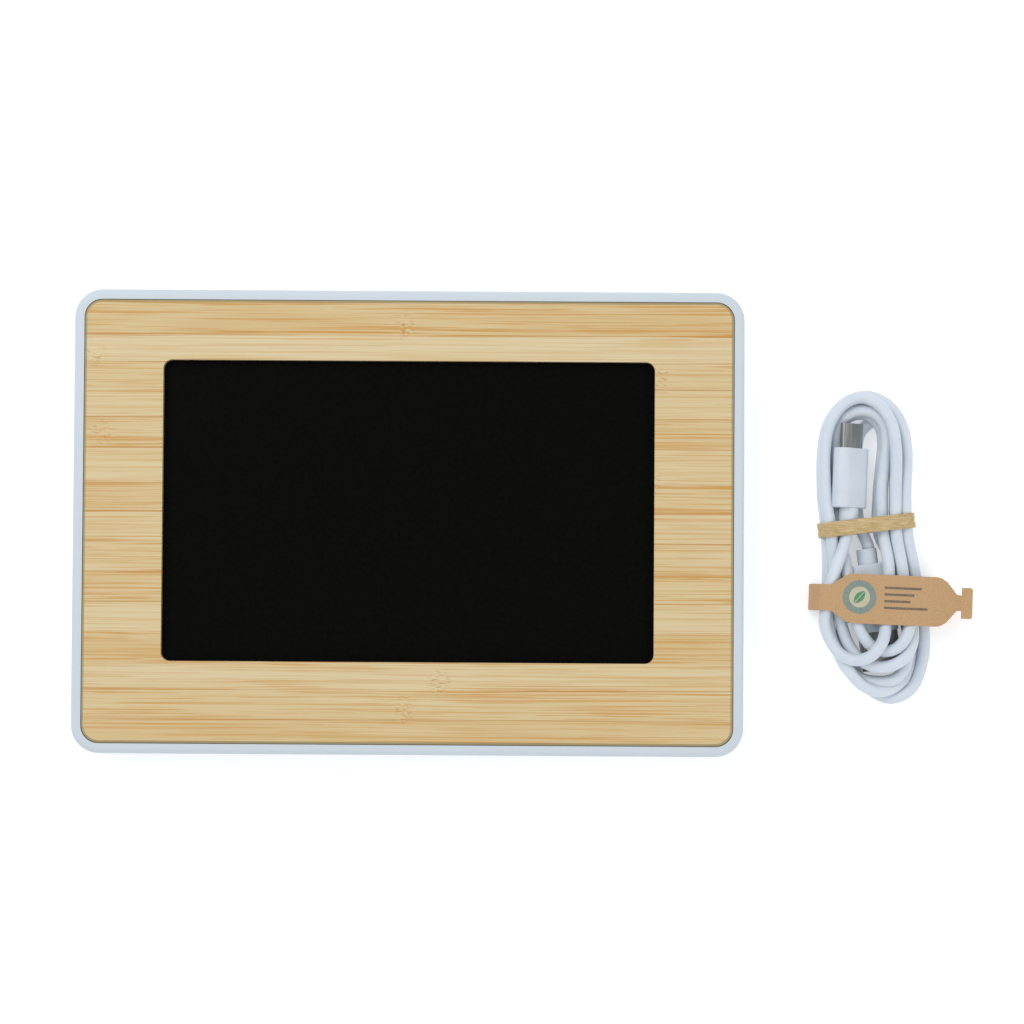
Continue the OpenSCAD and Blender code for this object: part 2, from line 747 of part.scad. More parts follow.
module usb_c_tongue() {
    color("#2a2b2c") at_c() translate([0, shell_back, 0]) {
        for (s = [-1, 1]) translate([-3.2, 0, s * 0.75 - 0.2]) cube([6.4, 5.4, 0.4]);
        translate([-3.2, 0, -0.95]) cube([6.4, 0.8, 1.9]);
    }
}

module usb_c_body() {
    color("#d0d7e2") at_c() mirror([0, 1, 0])
        round_bar(c_grip[0], c_grip[1], c_grip[2]);
}

module usb_c_relief() {
    color("#ccd3df") at_c() translate([0, -c_grip[2], 0]) rotate([90, 0, 0]) difference() {
        cylinder(r = c_neck_r, h = c_neck_l);
        translate([0, 0, c_neck_l - neck_seat]) cylinder(r = cord_r + fit, h = neck_seat + cut);
    }
}

module usb_a_shell() {
    color("#8f9092") at_a() translate([0, a_grip[2], 0]) difference() {
        plug_bar(a_shell[0], a_shell[1], a_shell[2], 0.4);
        translate([0, shell_back, 0])
            plug_bar(a_shell[0] - 2 * shell_wall, a_shell[1] - 2 * shell_wall, a_shell[2], 0.2);
        for (sx = [-1, 1], sz = [-1, 1])
            translate([sx * 2.6, 6.4, sz * a_shell[1] / 2]) cube([2.2, 2.2, 1], center = true);
    }
}

module usb_a_tongue() {
    color("#e8e9ea") at_a() translate([-5.4, a_grip[2] + shell_back, -1.9]) cube([10.8, 10.6, 1.8]);
}

module usb_a_body() {
    color("#d0d7e2") at_a() plug_bar(a_grip[0], a_grip[1], a_grip[2], 3.2);
}

module usb_a_relief() {
    color("#ccd3df") at_a() rotate([90, 0, 0]) difference() {
        cylinder(r = a_neck_r, h = a_neck_l);
        translate([0, 0, a_neck_l - neck_seat]) cylinder(r = cord_r + fit, h = neck_seat + cut);
    }
}

module hank_band() {
    color("#c8b27d") translate(band_at) rotate([0, 0, band_angle]) rotate([90, 0, 0])
        translate([0, 0, -band_w / 2]) frame_slab(band_size[0], band_size[1], 5.6,
            band_size[0] - 2 * band_t, band_size[1] - 2 * band_t, 5.6 - band_t, band_w);
}

// Outline of the tag: a narrow strip, a bottle-shaped label and a cross piece at its end
module tag_outline() {
    half = [[tag_x[0], 4.1], [-19.4, 4.1], [-14, 7.8], [15, 7.8], [17.4, 6.4], [20.8, 2.6], [22.6, 2.4],
        [22.6, 4.9], [tag_x[1], 4.9]];
    polygon(concat(half, [for (k = [len(half) - 1 : -1 : 0]) [half[k][0], -half[k][1]]]));
}

// Side view of the tag: one strip of card folded round the cord, its two ends glued together on the right
module tag_loop() {
    left = tag_x[0];
    right = tag_x[1];
    outer = [[left, 0], [14, 0], [22, 6.4], [right, 7], [right, 7.8], [22, 7.8], [12, tag_h],
        [left + 2.2, tag_h], [left, tag_h - 2], [left, 2]];
    inner = [[left + tag_t, 2], [left + tag_t, tag_h - 2.2], [left + 2.4, tag_h - tag_t],
        [11.8, tag_h - tag_t], [20.6, 7.8], [20.6, 5.8], [13.8, tag_t], [left + tag_t, tag_t]];
    translate([0, 20, 0]) rotate([90, 0, 0]) linear_extrude(40) difference() {
        polygon(outer);
        polygon(inner);
    }
}

module cable_tag() {
    color("#c4a073") translate([tag_at[0], tag_at[1], 0]) rotate([0, 0, tag_angle]) intersection() {
        translate([0, 0, -1]) linear_extrude(tag_h + 2) tag_outline();
        tag_loop();
    }
}

front_housing();
rear_cover();
bamboo_panel();
panel_adhesive();
display_lens();
lens_tape();
lcd_gasket();
lcd_panel();
backlight_tray();
lcd_clips();
clip_screws();
main_board();
board_screws();
shield_can();
board_chips();
usb_c_socket();
card_slot();
power_switch();
display_flex();
flex_connector();
speaker();
speaker_gasket();
speaker_leads();
wifi_antenna();
antenna_lead();
cover_screws();
rear_feet();
blank_label();
hinge_bracket();
hinge_screws();
hinge_pin();
hinge_washers();
stand_leg();
leg_pads();
power_button();
cable_hank();
cable_lead();
usb_c_shell();
usb_c_tongue();
usb_c_body();
usb_c_relief();
usb_a_shell();
usb_a_tongue();
usb_a_body();
usb_a_relief();
hank_band();
cable_tag();
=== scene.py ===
import math

import bmesh
import bpy
import numpy as np
from mathutils import Euler, Matrix, Vector


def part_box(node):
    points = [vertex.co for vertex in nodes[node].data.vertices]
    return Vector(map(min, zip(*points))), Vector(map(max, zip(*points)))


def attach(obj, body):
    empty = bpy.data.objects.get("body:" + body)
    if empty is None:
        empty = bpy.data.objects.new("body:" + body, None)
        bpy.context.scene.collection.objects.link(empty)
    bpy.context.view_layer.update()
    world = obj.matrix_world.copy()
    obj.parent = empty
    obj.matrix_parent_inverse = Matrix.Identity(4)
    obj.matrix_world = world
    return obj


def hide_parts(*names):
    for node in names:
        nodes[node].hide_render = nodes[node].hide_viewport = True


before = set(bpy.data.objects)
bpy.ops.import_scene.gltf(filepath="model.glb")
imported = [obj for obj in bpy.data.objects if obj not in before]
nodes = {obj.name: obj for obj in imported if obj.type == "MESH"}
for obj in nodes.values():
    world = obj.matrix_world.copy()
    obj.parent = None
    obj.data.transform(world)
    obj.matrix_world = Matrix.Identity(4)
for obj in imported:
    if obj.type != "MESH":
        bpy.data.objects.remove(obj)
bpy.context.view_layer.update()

mm = 0.001
print("loaded", len(nodes), "CAD nodes")


def hexColour(text):
    # sRGB hex to the linear values that the shaders use
    parts = [int(text[i:i + 2], 16) / 255 for i in (1, 3, 5)]
    return [p / 12.92 if p <= 0.04045 else ((p + 0.055) / 1.055) ** 2.4 for p in parts] + [1.0]


def addNode(tree, kind, settings=None, inputs=None, links=None, stops=()):
    # One node: its properties, its inputs (a number, or the socket that feeds it) and a ramp's colours
    node = tree.nodes.new(kind)
    for name, value in (settings or {}).items():
        setattr(node, name, value)
    for name, value in {**(inputs or {}), **(links or {})}.items():
        if isinstance(value, bpy.types.NodeSocket):
            tree.links.new(value, node.inputs[name])
        else:
            node.inputs[name].default_value = value
    for k, (at, colour) in enumerate(stops):
        element = node.color_ramp.elements[k] if k < 2 else node.color_ramp.elements.new(at)
        element.position = at
        element.color = hexColour(colour)
    return node


def newMaterial(name, shader):
    # A material with one Principled shader, its constant inputs set on its own sockets
    material = bpy.data.materials.new(name)
    material.use_nodes = True
    tree = material.node_tree
    tree.nodes.clear()
    surface = addNode(tree, "ShaderNodeBsdfPrincipled", inputs=shader)
    output = addNode(tree, "ShaderNodeOutputMaterial", links={"Surface": surface.outputs["BSDF"]})
    return material, tree, surface, output


def place(tree, stretch=(1, 1, 1), turn=(0, 0, 0), shift=(0, 0, 0)):
    # Object coordinates, stretched so that a pattern runs the way the material was made
    source = addNode(tree, "ShaderNodeTexCoord")
    mapping = addNode(tree, "ShaderNodeMapping", inputs={"Scale": stretch, "Rotation": turn,
                                                         "Location": shift},
                      links={"Vector": source.outputs["Object"]})
    return mapping.outputs["Vector"]


def linked(name, mesh):
    piece = bpy.data.objects.new(name, mesh)
    bpy.context.scene.collection.objects.link(piece)
    return piece


def smooth(piece, angle=35):
    # Shades smooth, but keeps edges sharper than this angle
    mesh = piece.data
    mesh.shade_smooth()
    work = bmesh.new()
    work.from_mesh(mesh)
    for edge in work.edges:
        edge.smooth = len(edge.link_faces) == 2 and edge.calc_face_angle(0) < math.radians(angle)
    work.to_mesh(mesh)
    work.free()
    return piece


# Camera
camera = {
    "place": (35.39, -29.33, 1000),      # mm, over the middle of the scene
    "turn": (0.0335, 0.0029, 0.0064),    # radians, the small lean of a hand-levelled stand
    "lens": 110.4,
    "sensor": 36,
}


def addCamera():
    data = bpy.data.cameras.new("studioCamera")
    data.lens = camera["lens"]
    data.sensor_width = camera["sensor"]
    data.clip_start = 0.01
    data.clip_end = 20
    holder = bpy.data.objects.new("studioCamera", data)
    bpy.context.scene.collection.objects.link(holder)
    holder.location = [v * mm for v in camera["place"]]
    holder.rotation_euler = Euler(camera["turn"])
    bpy.context.scene.camera = holder


addCamera()
print("camera placed")

# The tied lead
cordSizes = {
    "diameter": 3.8,
    "sides": 20,          # flats round the tube
    "step": 2.0,          # mm between points of the finished line
    "spare": 0.05,        # mm kept between turns
    "rounds": 340,        # passes that push crossing turns apart
    "push": 0.35,         # share of an overlap that one pass takes out
    "sideways": 0.1,      # share of that push that acts along the table
    "overTable": 0.02,    # mm
    "overBand": 0.7,      # mm more where the band runs below
    "bandReach": 4,       # mm either side of the band's middle
    "overTag": 0.5,       # mm more where the tag's back is below
    "tagAt": -23.2,       # mm, middle of the tag
    "tagReach": 8,        # mm either side of it
    "roofReach": 9,
    "underTag": 11.8,     # mm, highest middle of a strand below the tag
}

# The stretch that leaves the small plug: the route that the CAD lead takes, in mm
leadRoute = [(138.2, 0.8, 9.2), (137.9, -2, 9.8), (137, -6, 10.8), (135.6, -10, 11.2), (134.2, -14, 11.5),
             (133, -18, 11.6), (132, -22, 11.6), (131.3, -26, 11.4), (130.9, -30, 10.6), (132, -34, 9)]

# Each turn: the low bend (points), the right run at the band, the top bend (centre, half width, height)
# and the left run at the band; then the height of each of those four above the table
turns = [
    {"low": [(135.6, -40, 8.6), (140.5, -42.2, 10), (145.5, -40.6, 13), (149, -36, 13.6), (150.4, -28, 11.4)],
     "right": [(151.2, -13.3, 10.4), (149.6, -2, 8.2), (149.2, 10, 6.8)],
     "top": (142.9, 28.9, 7.8, 8.1), "topZ": 5.9,
     "left": [(135.6, 10, 5.6), (135.2, 0, 6.2), (137.4, -11, 6.8), (139.2, -22, 10)]},
    {"low": [(140.7, -29.5, 10.4), (142.9, -34.6, 10.5), (146.2, -38.2, 10.6), (150.2, -39.4, 10.6),
             (154.3, -37.8, 10.4), (157, -33.6, 10), (158, -28.5, 9)],
     "right": [(156.8, -23, 7), (155.4, -12.5, 7), (153.6, -2, 7), (153.3, 10, 7.6)],
     "top": (142.2, 24, 11, 16.6), "topZ": 8.9,
     "left": [(131.8, 10, 8.9), (133.2, 0, 9.2), (134.2, -11, 8), (135, -22, 7.4)]},
    {"low": [(136, -30, 6.4), (138.6, -37.6, 7), (143, -42.8, 9.6), (149, -44.3, 10.4), (155.2, -41.9, 9.6),
             (158.6, -36, 7)],
     "right": [(157.6, -23, 3), (155.6, -12.5, 3), (153.4, -2, 3), (153.2, 10, 2.4)],
     "top": (142.3, 24, 10.6, 16.4), "topZ": 2,
     "left": [(132, 10, 2.3), (133.2, 0, 2.8), (133.8, -11, 2.8), (133.6, -22, 2.8)]},
    {"low": [(133.8, -31, 3.6), (137.2, -39.5, 3.4), (140.8, -46, 2.6), (147.6, -49.2, 2.2),
             (155, -48.2, 2.2), (159, -39.5, 2.2)],
     "right": [(157.4, -26, 2.6), (155.6, -14, 2.8), (149.6, -2, 2.8), (149.4, 10, 2.2)],
     "top": (143, 28.4, 7.8, 7.9), "topZ": 2,
     "left": [(136, 10, 2.3), (135.4, 0, 2.8), (136, -11, 2.8), (135.8, -22, 2.8)]},
    {"low": [(136, -36, 2.6), (140, -45, 2.2), (144, -50.6, 2), (151.5, -54.1, 2), (158.1, -51.2, 2),
             (161.5, -43.4, 2), (162.2, -36, 2.4)],
     "right": [(161.1, -25, 3.6), (158.7, -13, 5.4), (156.6, -2, 6.4), (156.2, 10, 6.4)],
     "top": (144.2, 24, 12.6, 17), "topZ": 5.4,
     "left": [(131.9, 10, 5.6), (133.2, 0, 6.4), (133.9, -11, 6.2), (133.5, -22, 6)]},
    {"low": [(133.6, -33, 6), (137.8, -42, 4.4), (143, -48, 2.4), (149.4, -50, 2), (155.6, -47.4, 2),
             (159, -40, 2.2)],
     "right": [(160, -26, 2.8), (158, -13, 2.8), (156.4, -2, 2.8), (156.6, 10, 2.2)],
     "top": (149.5, 25.6, 7.8, 8.7), "topZ": 2,
     "left": [(141.8, 12, 2), (142, 4, 2.3), (142.6, 0, 3.2), (143.9, -3, 4.4)]},
]

# The last stretch goes into the neck of the large plug
tailRoute = [(144.9, -5.4, 5.2), (145.5, -7.6, 5.4)]


def wholeRoute():
    points = [list(p) for p in leadRoute]
    for turn in turns:
        points += [list(p) for p in turn["low"] + turn["right"]]
        x, y, halfWidth, height = turn["top"]
        for angle in range(0, 181, 30):
            a = math.radians(angle)
            points.append([x + halfWidth * math.cos(a), y + height * math.sin(a), turn["topZ"]])
        points += [list(p) for p in turn["left"]]
    return np.array(points + [list(p) for p in tailRoute], float)


def roundedLine(points, step):
    # A centripetal Catmull-Rom line through the points, sampled evenly
    points = np.vstack([2 * points[0] - points[1], points, 2 * points[-1] - points[-2]])
    fine = []
    for p0, p1, p2, p3 in zip(points, points[1:], points[2:], points[3:]):
        t1 = np.linalg.norm(p1 - p0) ** 0.5
        t2 = t1 + np.linalg.norm(p2 - p1) ** 0.5
        t3 = t2 + np.linalg.norm(p3 - p2) ** 0.5
        for t in np.linspace(t1, t2, 24, endpoint=False):
            a1 = ((t1 - t) * p0 + t * p1) / t1
            a2 = ((t2 - t) * p1 + (t - t1) * p2) / (t2 - t1)
            a3 = ((t3 - t) * p2 + (t - t2) * p3) / (t3 - t2)
            b1 = ((t2 - t) * a1 + t * a2) / t2
            b2 = ((t3 - t) * a2 + (t - t1) * a3) / (t3 - t1)
            fine.append(((t2 - t) * b1 + (t - t1) * b2) / (t2 - t1))
    fine = np.array(fine + [points[-2]])
    along = np.concatenate([[0], np.cumsum(np.linalg.norm(np.diff(fine, axis=0), axis=1))])
    count = int(along[-1] / step) + 1
    at = np.linspace(0, along[-1], count)
    return np.stack([np.interp(at, along, fine[:, k]) for k in range(3)], axis=1)


def capsulePush(points, start, end, radius):
    # How far each point has to move to stay outside a round-ended rod
    axis = end - start
    t = np.clip(((points - start) @ axis) / (axis @ axis), 0, 1)
    away = points - (start + t[:, None] * axis)
    distance = np.linalg.norm(away, axis=1)
    return away / np.maximum(distance, 1e-6)[:, None] * np.maximum(radius - distance, 0)[:, None]


def settle(points, rods):
    # Pushes turns that cross apart, mostly up and down, as they lie on each other when wound
    rest = points.copy()
    diameter = cordSizes["diameter"] + cordSizes["spare"]
    n = len(points)
    near = np.abs(np.subtract.outer(np.arange(n), np.arange(n))) < 3 * diameter / cordSizes["step"]
    hold = np.ones(n)
    hold[:len(leadRoute) * 2] = 0
    hold[-4:] = 0
    for k in range(cordSizes["rounds"]):
        gap = points[:, None, :] - points[None, :, :]
        distance = np.linalg.norm(gap, axis=2) + near * 99
        depth = np.maximum(diameter - distance, 0)
        push = (gap / distance[:, :, None] * depth[:, :, None]).sum(axis=1) * cordSizes["push"]
        for start, end, radius in rods:
            push += capsulePush(points, start, end, radius + diameter / 2) * cordSizes["push"]
        push[:, :2] *= cordSizes["sideways"]
        moved = points - rest + push * hold[:, None]
        for _ in range(2):
            moved[1:-1] = 0.5 * moved[1:-1] + 0.25 * (moved[:-2] + moved[2:])
            moved *= hold[:, None]
        points = rest + moved
        fromTag = np.abs(points[:, 1] - cordSizes["tagAt"])
        floor = cordSizes["diameter"] / 2 + cordSizes["overTable"] \
            + cordSizes["overBand"] * (np.abs(points[:, 1]) < cordSizes["bandReach"]) \
            + cordSizes["overTag"] * (fromTag < cordSizes["tagReach"])
        roof = np.where(fromTag < cordSizes["roofReach"], cordSizes["underTag"], 99)
        points[:, 2] = np.clip(points[:, 2], floor, roof)
    return points


# Both grips and the large plug's shell: place, lean and roll in degrees, where it begins and ends along
# the plug, half its flat width and the radius of its sides, in mm
plugShapes = [
    ((139.3, 24.7, 9), -2, 35, 0, -18.9, 2.9, 3.25),
    ((145.2, -11.8, 5), 188, -12, 0, 21.6, 3.1, 3.7),
    ((145.2, -11.8, 5), 188, -12, 21.6, 33.6, 3.8, 2.3),
]


def plugRods():
    # Plug grips and shells as rods that the cord lies round
    rods = []
    for middle, lean, roll, begin, end, half, radius in plugShapes:
        turn = Euler((0, math.radians(roll), 0)).to_matrix()
        turn = Euler((0, 0, math.radians(lean))).to_matrix() @ turn
        for side in (-1, -0.5, 0, 0.5, 1):
            first = Vector(middle) + turn @ Vector((side * half, begin, 0))
            last = Vector(middle) + turn @ Vector((side * half, end, 0))
            rods.append((np.array(first), np.array(last), radius))
    return rods


def tube(name, line, radius, sides):
    # A closed tube along the line; each ring is carried on from the last, so the tube doesn't twist
    along = np.gradient(line, axis=0)
    along /= np.linalg.norm(along, axis=1)[:, None]
    across = np.cross(along[0], (0, 0, 1.0))
    angles = np.linspace(0, 2 * math.pi, sides, endpoint=False)
    verts = []
    for point, ahead in zip(line, along):
        across = across - ahead * (across @ ahead)
        across /= np.linalg.norm(across)
        up = np.cross(across, ahead)
        verts += [tuple(point + radius * (math.cos(a) * across + math.sin(a) * up)) for a in angles]
    last = (len(line) - 1) * sides
    faces = [(r + k, r + (k + 1) % sides, r + sides + (k + 1) % sides, r + sides + k)
             for r in range(0, last, sides) for k in range(sides)]
    faces += [tuple(range(sides)), tuple(range(last, last + sides))]
    mesh = bpy.data.meshes.new(name)
    mesh.from_pydata(verts, [], faces)
    work = bmesh.new()
    work.from_mesh(mesh)
    bmesh.ops.recalc_face_normals(work, faces=work.faces[:])
    work.to_mesh(mesh)
    work.free()
    return mesh


def makeCord():
    line = roundedLine(wholeRoute(), cordSizes["step"])
    line = settle(line, plugRods())
    length = np.linalg.norm(np.diff(line, axis=0), axis=1).sum()
    cord = linked("usbCord", tube("usbCord", line * mm, cordSizes["diameter"] / 2 * mm, cordSizes["sides"]))
    cord.data.shade_smooth()
    print("cord of", round(length), "mm")
    return cord, length * mm, line


cord, cordLength, cordLine = makeCord()
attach(cord, "cable")
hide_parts("cable_hank", "cable_lead")


# Materials

def grainBump(tree, surface, size, strength, depth, stretch=(1, 1, 1)):
    # A moulded or cast grain: size is the width of one pip in mm, depth its height in mm
    noise = addNode(tree, "ShaderNodeTexNoise", inputs={"Scale": 1 / (size * mm), "Detail": 3,
                                                        "Roughness": 0.55},
                    links={"Vector": place(tree, stretch)})
    raised = addNode(tree, "ShaderNodeBump", inputs={"Strength": strength, "Distance": depth * mm},
                     links={"Height": noise.outputs["Fac"]})
    tree.links.new(raised.outputs["Normal"], surface.inputs["Normal"])


def mottled(tree, surface, low, high, size, stretch=(1, 1, 1)):
    # Slow drift of the colour over a surface, size in mm
    noise = addNode(tree, "ShaderNodeTexNoise", inputs={"Scale": 1 / (size * mm), "Detail": 4,
                                                        "Roughness": 0.6},
                    links={"Vector": place(tree, stretch)})
    tint = addNode(tree, "ShaderNodeValToRGB", links={"Fac": noise.outputs["Fac"]},
                   stops=[(0.35, low), (0.65, high)])
    tree.links.new(tint.outputs["Color"], surface.inputs["Base Color"])


def uneven(tree, surface, low, high, size, stretch=(1, 1, 1)):
    # Rubbed and duller patches: roughness that drifts between two values
    noise = addNode(tree, "ShaderNodeTexNoise", inputs={"Scale": 1 / (size * mm), "Detail": 2},
                    links={"Vector": place(tree, stretch)})
    spread = addNode(tree, "ShaderNodeMapRange", inputs={"From Min": 0.3, "From Max": 0.7, "To Min": low,
                                                         "To Max": high},
                     links={"Value": noise.outputs["Fac"]})
    tree.links.new(spread.outputs["Result"], surface.inputs["Roughness"])


def softPlastic(name, look):
    # Injection-moulded plastic or rubber: even colour, a fine grain from the mould, soft broad gloss
    material, tree, surface, _ = newMaterial(name, {"IOR": look["ior"],
                                                    "Specular IOR Level": look["specular"],
                                                    "Subsurface Weight": look.get("glow", 0),
                                                    "Subsurface Radius": (0.0012, 0.0013, 0.0016),
                                                    "Subsurface Scale": 1.0})
    mottled(tree, surface, look["low"], look["high"], look["drift"])
    uneven(tree, surface, look["rough"] - 0.05, look["rough"] + 0.06, look["drift"] * 0.4)
    grainBump(tree, surface, look["grain"], look["bump"], look["depth"])
    return material


def metalSheet(name, look):
    # Rolled or turned metal: fine lines along the working direction, brighter where it is rubbed
    material, tree, surface, _ = newMaterial(name, {"Metallic": 1.0, "Anisotropic": look["along"]})
    mottled(tree, surface, look["low"], look["high"], look["drift"], look["stretch"])
    uneven(tree, surface, look["rough"] - 0.06, look["rough"] + 0.08, look["drift"], look["stretch"])
    grainBump(tree, surface, look["grain"], look["bump"], look["depth"], look["stretch"])
    return material


# Sizes in mm: drift is the width of a colour patch, grain that of a pip or scratch, depth its height
plastics = {
    # ABS, satin moulded: cool white with a soft, wide highlight
    "housing_plastic": {"name": "satinMouldedAbs", "low": "#CED8DE", "high": "#D1DAE0", "rough": 0.44,
                        "grain": 0.35, "drift": 30, "bump": 0.12, "depth": 0.02, "ior": 1.53,
                        "specular": 0.4, "glow": 0.06},
    # ABS with a spark-eroded mould texture: the same white, duller and pebbled
    "cover_plastic": {"name": "sparkTexturedAbs", "low": "#C9D2D8", "high": "#CCD5DB", "rough": 0.58,
                      "grain": 0.6, "drift": 25, "bump": 0.35, "depth": 0.05, "ior": 1.53,
                      "specular": 0.35},
    # POM button: a little greyer and smoother than the cover
    "button_plastic": {"name": "mouldedAcetal", "low": "#B3BEC5", "high": "#BCC6CC", "rough": 0.35,
                       "grain": 0.4, "drift": 6, "bump": 0.08, "depth": 0.015, "ior": 1.48,
                       "specular": 0.45},
    # Soft thermoplastic elastomer of the cord: milky, light goes a little way in
    "cord_tpe": {"name": "extrudedElastomer", "low": "#D4DDE5", "high": "#DCE4EB", "rough": 0.46,
                 "grain": 0.5, "drift": 14, "bump": 0.06, "depth": 0.02, "ior": 1.5, "specular": 0.35,
                 "glow": 0.35},
    # The same elastomer moulded over the plugs
    "plug_tpe": {"name": "overmouldedElastomer", "low": "#D2DBE3", "high": "#DAE2E9", "rough": 0.4,
                 "grain": 0.3, "drift": 10, "bump": 0.06, "depth": 0.015, "ior": 1.5, "specular": 0.4,
                 "glow": 0.25},
    # Dark grey silicone rubber of the feet and pads, press-moulded: matt, slightly dusty
    "foot_rubber": {"name": "mattSiliconeRubber", "low": "#35373A", "high": "#43464A", "rough": 0.78,
                    "grain": 0.4, "drift": 5, "bump": 0.25, "depth": 0.04, "ior": 1.43, "specular": 0.25},
    # Epoxy moulding compound round the chips: near black, dull and finely sandy
    "chip_resin": {"name": "mouldingResin", "low": "#1B1B1D", "high": "#262628", "rough": 0.62,
                   "grain": 0.12, "drift": 3, "bump": 0.3, "depth": 0.02, "ior": 1.55, "specular": 0.35},
    # Moulded nylon of the connectors: cream, satin
    "connector_nylon": {"name": "mouldedNylon", "low": "#D9D3C2", "high": "#E4DECD", "rough": 0.5,
                        "grain": 0.3, "drift": 4, "bump": 0.1, "depth": 0.02, "ior": 1.53, "specular": 0.4},
    # Moulded ABS of the speaker's case: near black with a soft sheen
    "speaker_plastic": {"name": "blackSpeakerPlastic", "low": "#18191A", "high": "#232425", "rough": 0.5,
                        "grain": 0.4, "drift": 8, "bump": 0.2, "depth": 0.03, "ior": 1.53, "specular": 0.4},
    # PVC extruded over the wires: black, smooth, a little glossy
    "wire_pvc": {"name": "extrudedPvc", "low": "#1C1C1E", "high": "#28282A", "rough": 0.45, "grain": 0.5,
                 "drift": 9, "bump": 0.06, "depth": 0.02, "ior": 1.53, "specular": 0.45},
    # Moulded insert of a plug, white: satin, very even
    "plug_insulator": {"name": "whitePlugPlastic", "low": "#DADBD9", "high": "#E4E5E3", "rough": 0.4,
                       "grain": 0.2, "drift": 4, "bump": 0.08, "depth": 0.01, "ior": 1.55, "specular": 0.4},
    # The same insert in black
    "plug_insulator_dark": {"name": "blackPlugPlastic", "low": "#1A1B1C", "high": "#242526", "rough": 0.45,
                            "grain": 0.2, "drift": 3, "bump": 0.1, "depth": 0.01, "ior": 1.55,
                            "specular": 0.4},
    # Die-cut closed-cell foam: black, pitted, no shine
    "foam": {"name": "closedCellFoam", "low": "#1C1C1C", "high": "#2B2B2B", "rough": 0.92, "grain": 0.35,
             "drift": 2, "bump": 0.7, "depth": 0.12, "ior": 1.4, "specular": 0.1},
    # Double-sided tissue tape: off-white and faintly fibrous
    "tape": {"name": "tissueTape", "low": "#D3CEBF", "high": "#DDD8CA", "rough": 0.7, "grain": 0.5,
             "drift": 5, "bump": 0.3, "depth": 0.03, "ior": 1.47, "specular": 0.25},
    # Polyimide film with dark ink over its copper: brown-black, slightly glossy
    "antenna_film": {"name": "polyimideAerial", "low": "#2A2420", "high": "#3A322A", "rough": 0.35,
                     "grain": 0.6, "drift": 6, "bump": 0.06, "depth": 0.01, "ior": 1.7, "specular": 0.5},
    # Polyimide ribbon over copper: amber and glossy
    "flex_film": {"name": "polyimideRibbon", "low": "#B9752A", "high": "#CC8A38", "rough": 0.3,
                  "grain": 0.5, "drift": 5, "bump": 0.05, "depth": 0.01, "ior": 1.7, "specular": 0.5},
    # Blank polyester label: pale grey, smooth, softly glossy
    "label_film": {"name": "polyesterLabel", "low": "#D5D9DB", "high": "#DEE2E3", "rough": 0.3,
                   "grain": 0.8, "drift": 12, "bump": 0.05, "depth": 0.01, "ior": 1.57, "specular": 0.4},
}

metals = {
    # Tin-plated steel sheet: bright, faint rolling lines
    "tray_metal": {"name": "tinPlatedSheet", "low": "#B9BCBE", "high": "#C9CBCC", "rough": 0.34,
                   "grain": 0.12, "drift": 6, "bump": 0.15, "depth": 0.01, "along": 0.4,
                   "stretch": (0.05, 1, 1)},
    # Stamped steel, zinc plated: greyer than the tin, with lines the other way
    "spring_steel": {"name": "zincPlatedSheet", "low": "#A4A7A9", "high": "#B8BABB", "rough": 0.38,
                     "grain": 0.15, "drift": 4, "bump": 0.2, "depth": 0.01, "along": 0.3,
                     "stretch": (1, 0.08, 1)},
    # Cold-headed steel, zinc plated: darker grey with no marked direction
    "screw_steel": {"name": "zincPlatedScrew", "low": "#8B8D8F", "high": "#A2A4A6", "rough": 0.33,
                    "grain": 0.1, "drift": 1.5, "bump": 0.2, "depth": 0.01, "along": 0.2,
                    "stretch": (1, 1, 1)},
    # Stamped lid, nickel plated: bright, slightly warm grey
    "switch_metal": {"name": "nickelSwitchLid", "low": "#B2B1AC", "high": "#C2C1BB", "rough": 0.3,
                     "grain": 0.1, "drift": 2, "bump": 0.15, "depth": 0.01, "along": 0.2,
                     "stretch": (1, 1, 1)},
    # Ground steel pin: the smoothest metal here, with fine lines round it
    "pin_steel": {"name": "groundPinSteel", "low": "#A9ABAD", "high": "#BDBFC0", "rough": 0.25,
                  "grain": 0.08, "drift": 2, "bump": 0.15, "depth": 0.008, "along": 0.5,
                  "stretch": (1, 0.05, 0.05)},
    # Rolled brass: yellow and satin
    "washer_brass": {"name": "rolledBrass", "low": "#BE9A55", "high": "#D0AC66", "rough": 0.35,
                     "grain": 0.1, "drift": 2, "bump": 0.15, "depth": 0.01, "along": 0.3,
                     "stretch": (1, 1, 1)},
    # Nickel-plated deep-drawn shell of the plugs: drawing lines run to the tip
    "plug_steel": {"name": "nickelPlatedShell", "low": "#8C8B87", "high": "#A5A4A0", "rough": 0.36,
                   "grain": 0.12, "drift": 2.5, "bump": 0.2, "depth": 0.01, "along": 0.4,
                   "stretch": (1, 0.1, 1)},
}

finishes = {slotName: softPlastic(look["name"], look) for slotName, look in plastics.items()}
finishes.update({slotName: metalSheet(look["name"], look) for slotName, look in metals.items()})


def coverGlass():
    # Glass with a matt etched front and black ink behind: nearly no reflection, faint fine grain
    material, tree, surface, _ = newMaterial("blackBackedGlass", {"IOR": 1.5, "Specular IOR Level": 0.02})
    mottled(tree, surface, "#090908", "#0D0D0B", 1.2)
    uneven(tree, surface, 0.3, 0.36, 25)
    grainBump(tree, surface, 0.3, 0.03, 0.004)
    return material


def displayCell():
    # Switched-off display glass behind the lens: dark blue-grey and glossy
    material, tree, surface, _ = newMaterial("displayCell", {"IOR": 1.52, "Specular IOR Level": 0.5})
    mottled(tree, surface, "#14171C", "#1C2026", 20)
    uneven(tree, surface, 0.12, 0.18, 20)
    grainBump(tree, surface, 0.5, 0.02, 0.003)
    return material


